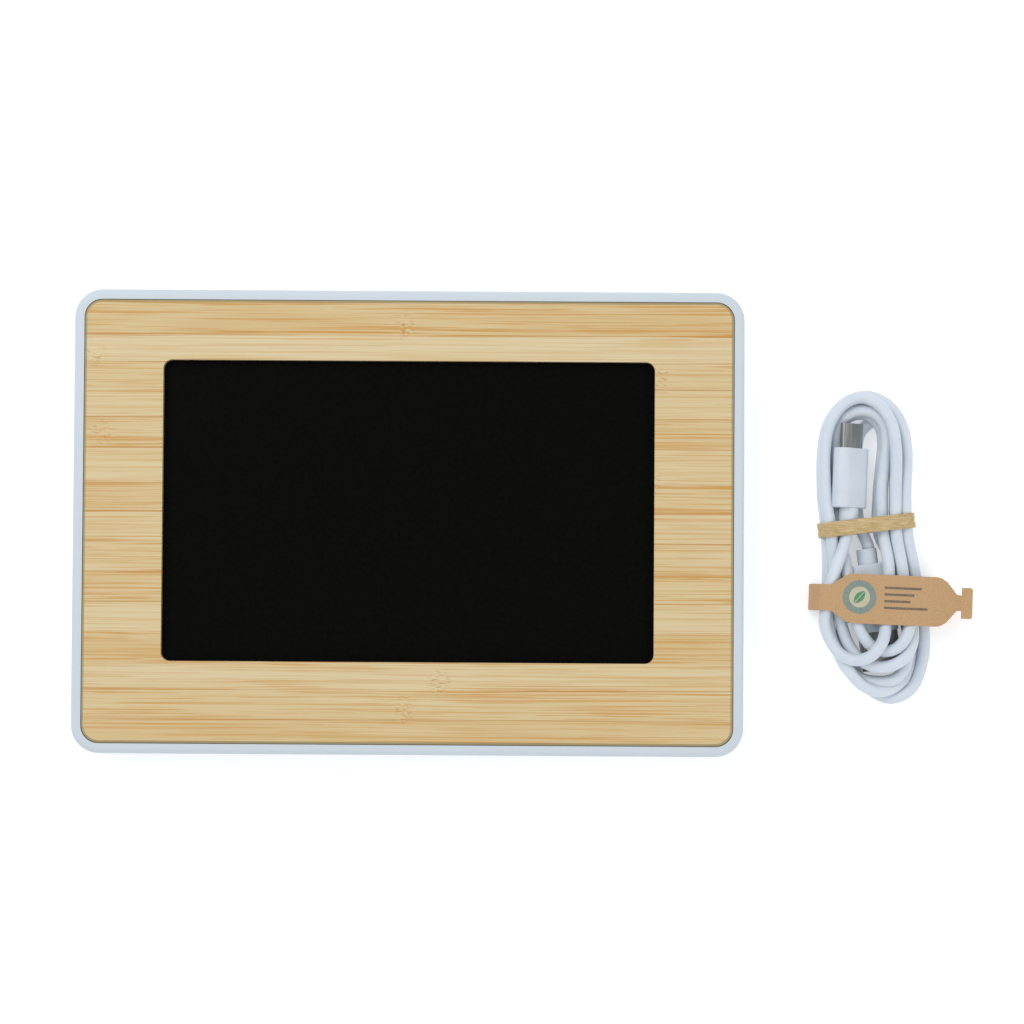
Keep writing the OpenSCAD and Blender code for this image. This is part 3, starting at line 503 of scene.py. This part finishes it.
def solderMask():
    # Glass epoxy under green lacquer: tracks show as paler lines about 0.4 mm wide
    material, tree, surface, _ = newMaterial("solderMaskBoard", {"IOR": 1.55, "Specular IOR Level": 0.5,
                                                                 "Coat Weight": 0.3, "Coat Roughness": 0.2})
    cells = addNode(tree, "ShaderNodeTexVoronoi", {"feature": "DISTANCE_TO_EDGE"}, {"Scale": 1 / (5 * mm)},
                    {"Vector": place(tree)})
    tint = addNode(tree, "ShaderNodeValToRGB", links={"Fac": cells.outputs["Distance"]},
                   stops=[(0.04, "#3D8A5E"), (0.09, "#1C5E3D")])
    tree.links.new(tint.outputs["Color"], surface.inputs["Base Color"])
    raised = addNode(tree, "ShaderNodeBump", inputs={"Strength": 0.2, "Distance": 0.03 * mm},
                     links={"Height": cells.outputs["Distance"]})
    tree.links.new(raised.outputs["Normal"], surface.inputs["Normal"])
    uneven(tree, surface, 0.28, 0.38, 8)
    return material


def kraftCard():
    # Unbleached card: brown fibres 0.3 to 1 mm long and a few dark specks
    material, tree, surface, _ = newMaterial("kraftCard", {"IOR": 1.45, "Specular IOR Level": 0.15,
                                                           "Roughness": 0.88})
    where = place(tree, (1000, 1000, 1000))
    fibre = addNode(tree, "ShaderNodeTexNoise", inputs={"Scale": 2.4, "Detail": 5, "Roughness": 0.6},
                    links={"Vector": where})
    speck = addNode(tree, "ShaderNodeTexVoronoi", inputs={"Scale": 0.9}, links={"Vector": where})
    card = addNode(tree, "ShaderNodeValToRGB", links={"Fac": fibre.outputs["Fac"]},
                   stops=[(0.3, "#BC976C"), (0.5, "#C5A178"), (0.7, "#CCAA82")])
    dots = addNode(tree, "ShaderNodeValToRGB", links={"Fac": speck.outputs["Distance"]},
                   stops=[(0.08, "#8C6A44"), (0.14, "#FFFFFF")])
    joined = addNode(tree, "ShaderNodeMix", {"data_type": "RGBA", "blend_type": "MULTIPLY"},
                     {0: 0.6, 6: card.outputs["Color"], 7: dots.outputs["Color"]})
    tree.links.new(joined.outputs[2], surface.inputs["Base Color"])
    raised = addNode(tree, "ShaderNodeBump", inputs={"Strength": 0.35, "Distance": 0.05 * mm},
                     links={"Height": fibre.outputs["Fac"]})
    tree.links.new(raised.outputs["Normal"], surface.inputs["Normal"])
    return material


def latexBand():
    # Natural latex strip: amber, powdery, with fine wrinkles across its length
    material, tree, surface, _ = newMaterial("naturalLatex", {"IOR": 1.52, "Specular IOR Level": 0.3,
                                                              "Subsurface Weight": 0.2,
                                                              "Subsurface Scale": 1.0,
                                                              "Subsurface Radius": (0.001, 0.0006, 0.0003)})
    mottled(tree, surface, "#B79B69", "#D6BE8F", 1.4, (0.35, 2.2, 1))
    uneven(tree, surface, 0.5, 0.66, 3)
    grainBump(tree, surface, 0.5, 0.35, 0.08, (1, 0.25, 1))
    return material


def printInk(name, colour, worn):
    # Screen-printed ink on card: flat colour, a little thin where the card is rough
    material, tree, surface, _ = newMaterial(name, {"IOR": 1.48, "Specular IOR Level": 0.2, "Roughness": 0.8})
    mottled(tree, surface, colour, worn, 0.5)
    grainBump(tree, surface, 0.3, 0.1, 0.01)
    return material


finishes.update({"lens_glass": coverGlass(), "display_glass": displayCell(), "circuit_board": solderMask(),
                 "tag_card": kraftCard(), "band_rubber": latexBand()})

for node in nodes.values():
    for materialSlot in node.material_slots:
        if materialSlot.material and materialSlot.material.name in finishes:
            materialSlot.material = finishes[materialSlot.material.name]
cord.data.materials.append(finishes["cord_tpe"])
print("finishes on", len(nodes), "nodes")


# Shapes from a CAD node, so that they keep its exact size

def copyOf(nodeName, pieceName):
    # A merged copy of a CAD node's mesh, with flat faces joined up
    mesh = nodes[nodeName].data.copy()
    mesh.name = pieceName
    work = bmesh.new()
    work.from_mesh(mesh)
    bmesh.ops.remove_doubles(work, verts=work.verts, dist=0.002 * mm)
    bmesh.ops.dissolve_limit(work, angle_limit=math.radians(0.5), verts=work.verts, edges=work.edges)
    work.to_mesh(mesh)
    work.free()
    return linked(pieceName, mesh)


# The front panel: bamboo strips glued side by side, each with its own tone

bamboo = {
    # Widths in mm from the far side, the last strip taking what is left
    "strips": [10.9, 8.4, 8.1, 9.4, 9.4, 10.9, 9.1, 9.4, 9.4, 9.4, 9.4, 9.1, 8.4, 9.4],
    "tones": [0.1, 0.85, 0.45, 0.6, 0.3, 0.65, 0.4, 0.7, 0.5, 0.25, 0.75, 0.1, 0.7, 0.45, 0.2],
    "streaks": [1.0, 0.25, 0.6, 0.45, 0.8, 0.5, 0.75, 0.4, 0.7, 0.9, 0.35, 0.75, 0.5, 0.85, 0.7],
    "dark": "#D4B780",
    "pale": "#E0D0A8",
    "fibre": "#CA9240",
    "joint": "#B97F3E",
    # Painted shade: the grey-tan laid on every chamfer, side and window wall, darker than the top because
    # those faces lie in shade
    "edge": "#A2946F",
    "lacquer": 0.06,
    # Knuckles, where the stalk had its rings: place over the panel in mm
    "knuckles": [(-1.5, 61.5), (-98.5, 52.5), (10, -49.5), (-1, -58.5), (78.5, 45), (75.5, 14), (-96, 28)],
}

# Length and width of each kind of fibre in mm, its detail, and where in the noise it is read.
# Real fibres are 0.3 mm wide; most are drawn coarser so that they show.
bambooFibres = {
    "broad": (110, 0.8, 2, 3.1),
    "fine": (38, 0.4, 2, 7.7),
    "hair": (60, 0.34, 1, 11.3),
    "bars": (2.6, 0.6, 1, 23.7),
    "patch": (60, 9, 1, 17.9),
}

# How the pattern's place is worked out: name, operation and its terms
bambooPlace = [
    ("pushed", "SUBTRACT", "wobble", 0.5),
    ("reach", "MULTIPLY", "near", 2.2),
    ("push", "MULTIPLY", "pushed", "reach"),
    ("lean", "MULTIPLY", "drift", 1.6),
    ("bent", "ADD", "y", "push"),
    ("width", "ADD", "bent", "lean"),
    ("own", "MULTIPLY", "tone", 733.0),      # mm along the noise, so that no two strips match
    ("length", "ADD", "x", "own"),
]

# How much of each layer of colour shows; softStep goes from 0 to 1 between its last two terms
bambooAmounts = [
    ("patchStep", "softStep", "patch", 0.4, 0.65),
    ("paler", "MULTIPLY", "patchStep", 0.35),
    ("hairStep", "softStep", "hair", 0.46, 0.57),
    ("hairs", "MULTIPLY", "hairStep", 0.38),
    ("offset", "SUBTRACT", "across", 0.5),
    ("off", "ABSOLUTE", "offset", 0.0),
    ("side", "softStep", "off", 0.2, 0.5),
    ("fromStrip", "MULTIPLY", "streak", 0.6),
    ("fromSide", "MULTIPLY", "side", 0.35),
    ("both", "ADD", "fromStrip", "fromSide"),
    ("scaled", "MULTIPLY", "both", 0.85),
    ("amount", "ADD", "scaled", 0.12),
    ("broadStep", "softStep", "broad", 0.54, 0.61),
    ("broadStreaks", "MULTIPLY", "broadStep", "amount"),
    ("fineStep", "softStep", "fine", 0.55, 0.62),
    ("fineStreaks", "MULTIPLY", "fineStep", "amount"),
    ("barStep", "softStep", "bars", 0.58, 0.66),
    ("atKnuckle", "MULTIPLY", "near", 0.6),
    ("knuckleBars", "MULTIPLY", "barStep", "atKnuckle"),
    ("seamStep", "softStep", "off", 0.455, 0.495),
    ("seamPatch", "softStep", "broad", 0.4, 0.55),
    ("seamBoth", "MULTIPLY", "seamStep", "seamPatch"),
    ("seams", "MULTIPLY", "seamBoth", 0.6),
    # Painted shade: faces that don't face straight up take three quarters of the grey-tan edge colour
    ("cut", "MULTIPLY", "edge", 0.75),
    ("dull", "MULTIPLY", "fine", 0.15),
    ("roughness", "ADD", "dull", 0.42),
]

bambooLayers = [("paler", "pale"), ("hairs", "dark"), ("broadStreaks", "fibre"), ("fineStreaks", "fibre"),
                ("knuckleBars", "joint"), ("seams", "joint"), ("cut", "edge")]


def workOut(tree, value, steps):
    # Adds the nodes of each step and keeps what they give under the step's name
    for name, operation, *terms in steps:
        terms = [value.get(term, term) for term in terms]
        if operation == "softStep":
            node = addNode(tree, "ShaderNodeMapRange", {"interpolation_type": "SMOOTHSTEP"},
                           {"Value": terms[0], "From Min": terms[1], "From Max": terms[2]})
        else:
            node = addNode(tree, "ShaderNodeMath", {"operation": operation}, {0: terms[0], 1: terms[1]})
        value[name] = node.outputs[0]


def bambooLaminate():
    # Sanded bamboo strips under thin matt lacquer: long orange fibres, darker at the glued joints
    material, tree, surface, _ = newMaterial("lacqueredBambooLaminate",
                                             {"IOR": 1.5, "Specular IOR Level": 0.28, "Coat Roughness": 0.4,
                                              "Coat Weight": bamboo["lacquer"], "Anisotropic": 0.25})
    value = {name: addNode(tree, "ShaderNodeAttribute", {"attribute_name": name}).outputs["Fac"]
             for name in ("tone", "streak", "across", "edge")}
    where = addNode(tree, "ShaderNodeSeparateXYZ", links={"Vector": place(tree, (1000, 1000, 1000))})
    value.update({"x": where.outputs["X"], "y": where.outputs["Y"], "near": 0.0})
    # Near a knuckle the fibres bend, so the pattern is pushed sideways there
    for x, y in bamboo["knuckles"]:
        workOut(tree, value, [
            ("besideX", "SUBTRACT", "x", x),
            ("dx", "MULTIPLY", "besideX", 0.3),
            ("dx2", "MULTIPLY", "dx", "dx"),
            ("besideY", "SUBTRACT", "y", y),
            ("dy", "MULTIPLY", "besideY", 0.24),
            ("dy2", "MULTIPLY", "dy", "dy"),
            ("sum", "ADD", "dx2", "dy2"),
            ("far", "SQRT", "sum", 0.0),
            ("fade", "softStep", "far", 0.25, 1.5),
            ("spot", "SUBTRACT", 1.0, "fade"),
            ("near", "MAXIMUM", "near", "spot"),
        ])
    value["wobble"] = addNode(tree, "ShaderNodeTexNoise", inputs={"Scale": 1 / (1.7 * mm), "Detail": 2},
                              links={"Vector": place(tree)}).outputs["Fac"]
    value["drift"] = addNode(tree, "ShaderNodeTexNoise", inputs={"Scale": 1 / (120 * mm), "Detail": 1},
                             links={"Vector": place(tree, (1, 2, 1))}).outputs["Fac"]
    workOut(tree, value, bambooPlace)
    for name, (length, width, detail, seed) in bambooFibres.items():
        workOut(tree, value, [("u", "MULTIPLY", "length", 1 / length), ("v", "MULTIPLY", "width", 1 / width)])
        vector = addNode(tree, "ShaderNodeCombineXYZ", inputs={"X": value["u"], "Y": value["v"], "Z": seed})
        noise = addNode(tree, "ShaderNodeTexNoise", inputs={"Scale": 1.0, "Detail": detail, "Roughness": 0.6},
                        links={"Vector": vector.outputs["Vector"]})
        value[name] = noise.outputs["Fac"]
    workOut(tree, value, bambooAmounts)
    shade = addNode(tree, "ShaderNodeMix", {"data_type": "RGBA"},
                    {0: value["tone"], 6: hexColour(bamboo["dark"]), 7: hexColour(bamboo["pale"])})
    for amount, colour in bambooLayers:
        shade = addNode(tree, "ShaderNodeMix", {"data_type": "RGBA"},
                        {0: value[amount], 6: shade.outputs[2], 7: hexColour(bamboo[colour])})
    tree.links.new(shade.outputs[2], surface.inputs["Base Color"])
    tree.links.new(value["roughness"], surface.inputs["Roughness"])
    raised = addNode(tree, "ShaderNodeBump", inputs={"Strength": 0.12, "Distance": 0.04 * mm},
                     links={"Height": value["fine"]})
    tree.links.new(raised.outputs["Normal"], surface.inputs["Normal"])
    return material


def makePanel():
    panel = copyOf("bamboo_panel", "bambooPanel")
    low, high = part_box("bamboo_panel")
    cuts = [high[1]]
    for width in bamboo["strips"]:
        cuts.append(cuts[-1] - width * mm)
    cuts = [y for y in cuts if y > low[1] + mm] + [low[1]]
    work = bmesh.new()
    work.from_mesh(panel.data)
    for y in cuts[1:-1]:
        whole = work.verts[:] + work.edges[:] + work.faces[:]
        bmesh.ops.bisect_plane(work, geom=whole, plane_co=(0, y, 0), plane_no=(0, 1, 0), dist=1e-7)
    bmesh.ops.triangulate(work, faces=work.faces[:])
    tone = work.faces.layers.float.new("tone")
    streak = work.faces.layers.float.new("streak")
    edge = work.faces.layers.float.new("edge")
    across = work.loops.layers.float.new("across")
    for face in work.faces:
        y = face.calc_center_median().y
        strip = max(k for k in range(len(cuts) - 1) if y <= cuts[k] + 1e-6)
        face[tone] = bamboo["tones"][strip]
        face[streak] = bamboo["streaks"][strip]
        # Marks every face that doesn't face straight up for the painted shade
        face[edge] = 1.0 if face.normal.z < 0.95 else 0.0
        for loop in face.loops:
            loop[across] = (loop.vert.co.y - cuts[strip + 1]) / (cuts[strip] - cuts[strip + 1])
    work.to_mesh(panel.data)
    work.free()
    panel.data.materials.clear()
    panel.data.materials.append(bambooLaminate())
    smooth(panel, 30)
    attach(panel, "frame")
    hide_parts("bamboo_panel")
    print("panel of", len(cuts) - 1, "strips")


makePanel()


# Moulded grips of the two plugs: the CAD shape with its hard edges rolled over

plugEdges = {"radius": 0.45, "segments": 4, "angle": 32}


def softGrip(nodeName, pieceName):
    grip = copyOf(nodeName, pieceName)
    work = bmesh.new()
    work.from_mesh(grip.data)
    sharp = [e for e in work.edges if len(e.link_faces) == 2
             and e.calc_face_angle(0) > math.radians(plugEdges["angle"])]
    bmesh.ops.bevel(work, geom=sharp, offset=plugEdges["radius"] * mm, segments=plugEdges["segments"],
                    profile=0.5, affect="EDGES", clamp_overlap=True)
    work.to_mesh(grip.data)
    work.free()
    grip.data.materials.clear()
    grip.data.materials.append(finishes["plug_tpe"])
    smooth(grip, 40)
    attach(grip, "cable")
    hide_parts(nodeName)
    return grip


softGrip("usb_c_body", "smallPlugGrip")
largeGrip = softGrip("usb_a_body", "largePlugGrip")
print("plug grips moulded")


# The latex band: a flat loop pulled tight round every strand that it crosses

band = {
    "at": (144.2, 0.3),      # mm, middle of the band over the table
    "turn": 6.8,             # degrees
    "width": 4.7,
    "thick": 0.7,
    "crease": 0.26,          # mm that its middle line sinks
    "neck": 3.1,             # mm, radius of the small plug's neck under it
    "cut": 0.2,              # mm taken off its long edges
    "gap": 0.04,             # mm between the band and a strand
    "points": 120,           # round the loop
}


def hull(points):
    # Outline of the outermost points, anticlockwise
    points = sorted(set((round(u, 4), round(w, 4)) for u, w in points))

    def half(source):
        line = []
        for p in source:
            while len(line) > 1 and (line[-1][0] - line[-2][0]) * (p[1] - line[-2][1]) \
                    <= (line[-1][1] - line[-2][1]) * (p[0] - line[-2][0]):
                line.pop()
            line.append(p)
        return line[:-1]

    return half(points) + half(reversed(points))


def evenLoop(points, count):
    # The same closed outline with evenly spaced points
    points = np.array(points + points[:1])
    along = np.concatenate([[0], np.cumsum(np.linalg.norm(np.diff(points, axis=0), axis=1))])
    at = np.linspace(0, along[-1], count, endpoint=False)
    return np.stack([np.interp(at, along, points[:, k]) for k in range(2)], axis=1)


def makeBand():
    turn = math.radians(band["turn"])
    along = np.array([math.cos(turn), math.sin(turn)])
    over = np.array([-math.sin(turn), math.cos(turn)])
    rings = []
    places = (cordLine[:, :2] - band["at"]) @ np.stack([along, over], axis=1)
    half = band["width"] / 2
    for (u, v), z in zip(places, cordLine[:, 2]):
        if abs(v) < half + 0.5:
            rings.append((u, z, cordSizes["diameter"] / 2 + band["gap"]))
    rings.append((float((np.array(leadRoute[0][:2]) - band["at"]) @ along), leadRoute[0][2],
                  band["neck"] + band["gap"]))
    dots = [(u + r * math.cos(a), z + r * math.sin(a))
            for u, z, r in rings for a in np.linspace(0, 2 * math.pi, 40)]
    inner = evenLoop(hull(dots), band["points"])
    before = np.roll(inner, 1, axis=0)
    after = np.roll(inner, -1, axis=0)
    tangent = (after - before) / np.linalg.norm(after - before, axis=1)[:, None]
    outward = np.stack([tangent[:, 1], -tangent[:, 0]], axis=1)
    thick = band["thick"]
    # Profile across the band: its place over the width, and its height off the strands
    cut = band["cut"]
    rows = [(-half, 0.0), (-half, thick - cut), (-half + cut, thick), (-half * 0.35, thick),
            (0, thick - band["crease"]),
            (half * 0.35, thick), (half - cut, thick), (half, thick - cut), (half, 0.0)]
    mesh = bpy.data.meshes.new("hankBand")
    verts = []
    for p, n in zip(inner, outward):
        for v, rise in rows:
            u, z = p + n * rise
            x, y = np.array(band["at"]) + along * u + over * v
            verts.append((x * mm, y * mm, max(z, 0.02) * mm))
    count = len(inner)
    size = len(rows)
    faces = [(a * size + k, a * size + (k + 1) % size, ((a + 1) % count) * size + (k + 1) % size,
              ((a + 1) % count) * size + k) for a in range(count) for k in range(size)]
    mesh.from_pydata(verts, [], faces)
    piece = linked("hankBand", mesh)
    work = bmesh.new()
    work.from_mesh(mesh)
    bmesh.ops.recalc_face_normals(work, faces=work.faces[:])
    work.to_mesh(mesh)
    work.free()
    mesh.materials.append(finishes["band_rubber"])
    smooth(piece, 50)
    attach(piece, "cable")
    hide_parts("hank_band")
    print("band made round", len(rings), "places")


makeBand()


# Print on the tag: a plain leaf mark and blank bars where a maker would put words

tagPrint = {
    "at": (152, -23.2),
    "turn": -2.1,
    "top": 14.2,             # mm, the tag's upper face
    "ring": {"place": (-10.5, 0.5), "radius": 5.3},
    # Start, height and length of each bar
    "bars": [(-2.7, 3.4, 11.6), (-2.7, 1.3, 9.4), (-2.7, -0.8, 8.2), (-2.7, -2.9, 13.6)],
    "barHeight": 0.75,
    "ink": 0.05,
    "card": 1.2,             # mm, an upright edge shorter than this is a corner of the card
    "body": (136, 168),      # mm, where the wide part starts and ends
    "corner": 0.8,
    "bodyCorner": 1.3,
    "disc": 0.62,            # of the ring's radius
    "leaf": {"length": 5.2, "halfWidth": 1.35, "vein": 0.12, "lean": 50},
    "sunk": 0.03,            # mm that the ink goes into the card
}


def printed(name, outlines, low, high, ink):
    # Closed flat shapes lying on the tag; outlines are in the tag's own mm
    turn = Matrix.Rotation(math.radians(tagPrint["turn"]), 4, "Z")
    work = bmesh.new()
    for outline in outlines:
        rings = []
        for z in (low, high):
            spots = [turn @ Vector((u, v, 0)) for u, v in outline]
            rings.append([work.verts.new(((p.x + tagPrint["at"][0]) * mm,
                                          (p.y + tagPrint["at"][1]) * mm, z * mm)) for p in spots])
        work.faces.new(rings[0][::-1])
        work.faces.new(rings[1])
        for k in range(len(outline)):
            j = (k + 1) % len(outline)
            work.faces.new((rings[0][k], rings[0][j], rings[1][j], rings[1][k]))
    bmesh.ops.recalc_face_normals(work, faces=work.faces[:])
    mesh = bpy.data.meshes.new(name)
    work.to_mesh(mesh)
    work.free()
    piece = linked(name, mesh)
    mesh.materials.append(ink)
    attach(piece, "cable")


def makeTag():
    # The folded card: the CAD shape with the corners of its cut outline rounded
    tag = copyOf("cable_tag", "foldedTag")
    work = bmesh.new()
    work.from_mesh(tag.data)
    for radius, body in ((tagPrint["corner"], False), (tagPrint["bodyCorner"], True)):
        corners = []
        for edge in work.edges:
            run = edge.verts[0].co - edge.verts[1].co
            onBody = tagPrint["body"][0] * mm < edge.verts[0].co.x < tagPrint["body"][1] * mm
            upright = abs(run.z) > 0.6 * run.length and run.length < tagPrint["card"] * mm
            if upright and onBody == body and len(edge.link_faces) == 2:
                if edge.calc_face_angle(0) > math.radians(18):
                    corners.append(edge)
        bmesh.ops.bevel(work, geom=corners, offset=radius * mm, segments=5, profile=0.5,
                        affect="EDGES", clamp_overlap=False)
        print("tag rounded at", len(corners), "corners")
    bmesh.ops.triangulate(work, faces=work.faces[:])
    work.to_mesh(tag.data)
    work.free()
    tag.data.materials.clear()
    tag.data.materials.append(finishes["tag_card"])
    smooth(tag, 30)
    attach(tag, "cable")
    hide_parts("cable_tag")


makeTag()


def makePrint():
    cx, cy = tagPrint["ring"]["place"]
    radius = tagPrint["ring"]["radius"]
    disc = tagPrint["disc"]
    shape = tagPrint["leaf"]
    angles = np.linspace(0, 2 * math.pi, 48, endpoint=False)
    outer = [(cx + radius * math.cos(a), cy + radius * math.sin(a)) for a in angles]
    middle = [(cx + radius * disc * math.cos(a), cy + radius * disc * math.sin(a)) for a in angles]
    # Half a leaf on each side of its vein
    leaf = []
    for side in (1, -1):
        edge = [(t, side * shape["halfWidth"] * math.sin(math.pi * t) ** 0.8)
                for t in np.linspace(0.03, 0.97, 14)]
        edge = edge + [(0.97, side * shape["vein"]), (0.03, side * shape["vein"])]
        lean = math.radians(shape["lean"])
        leaf.append([(cx + (t - 0.5) * shape["length"] * math.cos(lean) - w * math.sin(lean),
                      cy + (t - 0.5) * shape["length"] * math.sin(lean) + w * math.cos(lean))
                     for t, w in edge])
    top = tagPrint["top"]
    ink = tagPrint["ink"]
    low = top - tagPrint["sunk"]
    printed("tagRing", [outer], low, top + ink * 0.4, printInk("greyGreenInk", "#7F8E88", "#8F9B90"))
    printed("tagDisc", [middle], low, top + ink * 0.8, printInk("creamInk", "#C9C6AE", "#C4B996"))
    printed("tagLeaf", leaf, low, top + ink * 1.2, printInk("leafInk", "#4F8E6C", "#6B9C79"))
    high = tagPrint["barHeight"]
    bars = [[(u, v), (u + w, v), (u + w, v + high), (u, v + high)] for u, v, w in tagPrint["bars"]]
    printed("tagBars", bars, low, top + ink * 0.6, printInk("greyInk", "#6F6456", "#8A7A64"))
    print("tag printed")


makePrint()


# Parts that repeat: the rubber feet, set out by Geometry Nodes

feet = {"at": [(86.75, 52.5), (-86.75, 52.5), (86.75, -52.5), (-86.75, -52.5)], "radius": 5, "edge": 0.5,
        "dish": 0.35, "dishFloor": 0.45, "dishRim": 0.62}    # mm, and the dish as shares of the radius


def lathe(name, profile, steps=40):
    # A closed turned shape from (radius, z) points in mm, starting and ending on its axis
    work = bmesh.new()
    rings = []
    for radius, z in profile:
        if radius < 1e-6:
            rings.append([work.verts.new((0, 0, z * mm))] * steps)
        else:
            rings.append([work.verts.new((radius * math.cos(2 * math.pi * k / steps) * mm,
                                          radius * math.sin(2 * math.pi * k / steps) * mm, z * mm))
                          for k in range(steps)])
    for first, second in zip(rings, rings[1:]):
        for k in range(steps):
            j = (k + 1) % steps
            corners = list(dict.fromkeys((first[k], first[j], second[j], second[k])))
            if len(corners) > 2:
                work.faces.new(corners)
    bmesh.ops.recalc_face_normals(work, faces=work.faces[:])
    mesh = bpy.data.meshes.new(name)
    work.to_mesh(mesh)
    work.free()
    return mesh


def setOut(pieceName, part, spots, material):
    # Puts one part on every spot, then turns the result into a plain mesh
    tree = bpy.data.node_groups.new(pieceName + "Tree", "GeometryNodeTree")
    face = tree.interface
    face.new_socket("Geometry", in_out="INPUT", socket_type="NodeSocketGeometry")
    sizeSocket = face.new_socket("Part Size", in_out="INPUT", socket_type="NodeSocketFloat")
    partSocket = face.new_socket("Part", in_out="INPUT", socket_type="NodeSocketObject")
    face.new_socket("Geometry", in_out="OUTPUT", socket_type="NodeSocketGeometry")
    entry = addNode(tree, "NodeGroupInput")
    info = addNode(tree, "GeometryNodeObjectInfo", links={"Object": entry.outputs["Part"]})
    spread = addNode(tree, "GeometryNodeInstanceOnPoints", links={"Points": entry.outputs["Geometry"],
                                                                  "Instance": info.outputs["Geometry"],
                                                                  "Scale": entry.outputs["Part Size"]})
    whole = addNode(tree, "GeometryNodeRealizeInstances", links={"Geometry": spread.outputs["Instances"]})
    finish = addNode(tree, "GeometryNodeSetMaterial", inputs={"Material": material},
                     links={"Geometry": whole.outputs["Geometry"]})
    addNode(tree, "NodeGroupOutput", links={"Geometry": finish.outputs["Geometry"]})
    points = bpy.data.meshes.new(pieceName + "Spots")
    points.from_pydata([(x * mm, y * mm, 0) for x, y in spots], [], [])
    carrier = linked(pieceName + "Spots", points)
    source = linked(pieceName + "Part", part)
    modifier = carrier.modifiers.new("setOut", "NODES")
    modifier.node_group = tree
    modifier[sizeSocket.identifier] = 1.0
    modifier[partSocket.identifier] = source
    shown = carrier.evaluated_get(bpy.context.evaluated_depsgraph_get())
    mesh = bpy.data.meshes.new_from_object(shown)
    for spare in (carrier, source):
        bpy.data.objects.remove(spare)
    mesh.name = pieceName
    return linked(pieceName, mesh)


def makeFeet():
    # A rubber foot with a rolled edge and a shallow dish in its face
    low, high = [corner[2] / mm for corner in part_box("rear_feet")]
    r = feet["radius"]
    e = feet["edge"]
    turned = [(r - e + e * math.sin(a), low + e - e * math.cos(a)) for a in np.linspace(0, math.pi / 2, 6)]
    bottom = low + feet["dish"]
    profile = [(0, bottom), (r * feet["dishFloor"], bottom), (r * feet["dishRim"], low)]
    profile += turned + [(r, high), (0, high)]
    piece = setOut("rubberFeet", lathe("foot", profile), feet["at"], finishes["foot_rubber"])
    smooth(piece, 40)
    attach(piece, "frame")
    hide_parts("rear_feet")
    print("feet set out")


makeFeet()

# Studio
studio = {
    "floorHalf": 3,          # m
    "floorDrop": 0.0001,     # m below the object, so that the two faces don't meet
    "floorColour": "#F7F7F7",
    "floorGlow": 0.32,       # a back-lit table keeps the ground white under soft shadows
    "key": {"at": (-0.55, 0.6, 1.1), "size": 0.9, "watts": 6.5},
    "fill": {"at": (0.9, -0.5, 1.0), "size": 1.2, "watts": 4},
    "skyColour": "#F8FAFF",
    "sky": 0.65,
}


def addStudio():
    mesh = bpy.data.meshes.new("studioFloor")
    half = studio["floorHalf"]
    corners = [(-half, -half, 0), (half, -half, 0), (half, half, 0), (-half, half, 0)]
    mesh.from_pydata(corners, [], [(0, 1, 2, 3)])
    floor = linked("studioFloor", mesh)
    floor.location.z = -studio["floorDrop"]
    material, tree, surface, _ = newMaterial("studioPaper", {"Base Color": hexColour(studio["floorColour"]),
                                                             "Roughness": 0.9, "Specular IOR Level": 0.1,
                                                             "Emission Color": hexColour("#FFFFFF"),
                                                             "Emission Strength": studio["floorGlow"]})
    mesh.materials.append(material)
    for name in ("key", "fill"):
        data = bpy.data.lights.new(name + "Light", "AREA")
        data.size = studio[name]["size"]
        data.energy = studio[name]["watts"]
        lamp = bpy.data.objects.new(name + "Light", data)
        bpy.context.scene.collection.objects.link(lamp)
        lamp.location = studio[name]["at"]
        lamp.rotation_euler = (-Vector(studio[name]["at"])).to_track_quat("-Z", "Y").to_euler()
    world = bpy.data.worlds.new("studioSky")
    bpy.context.scene.world = world
    world.use_nodes = True
    sky = world.node_tree.nodes["Background"]
    sky.inputs["Color"].default_value = hexColour(studio["skyColour"])
    sky.inputs["Strength"].default_value = studio["sky"]
    bpy.context.scene.view_settings.view_transform = "Standard"


addStudio()
print("studio lit")
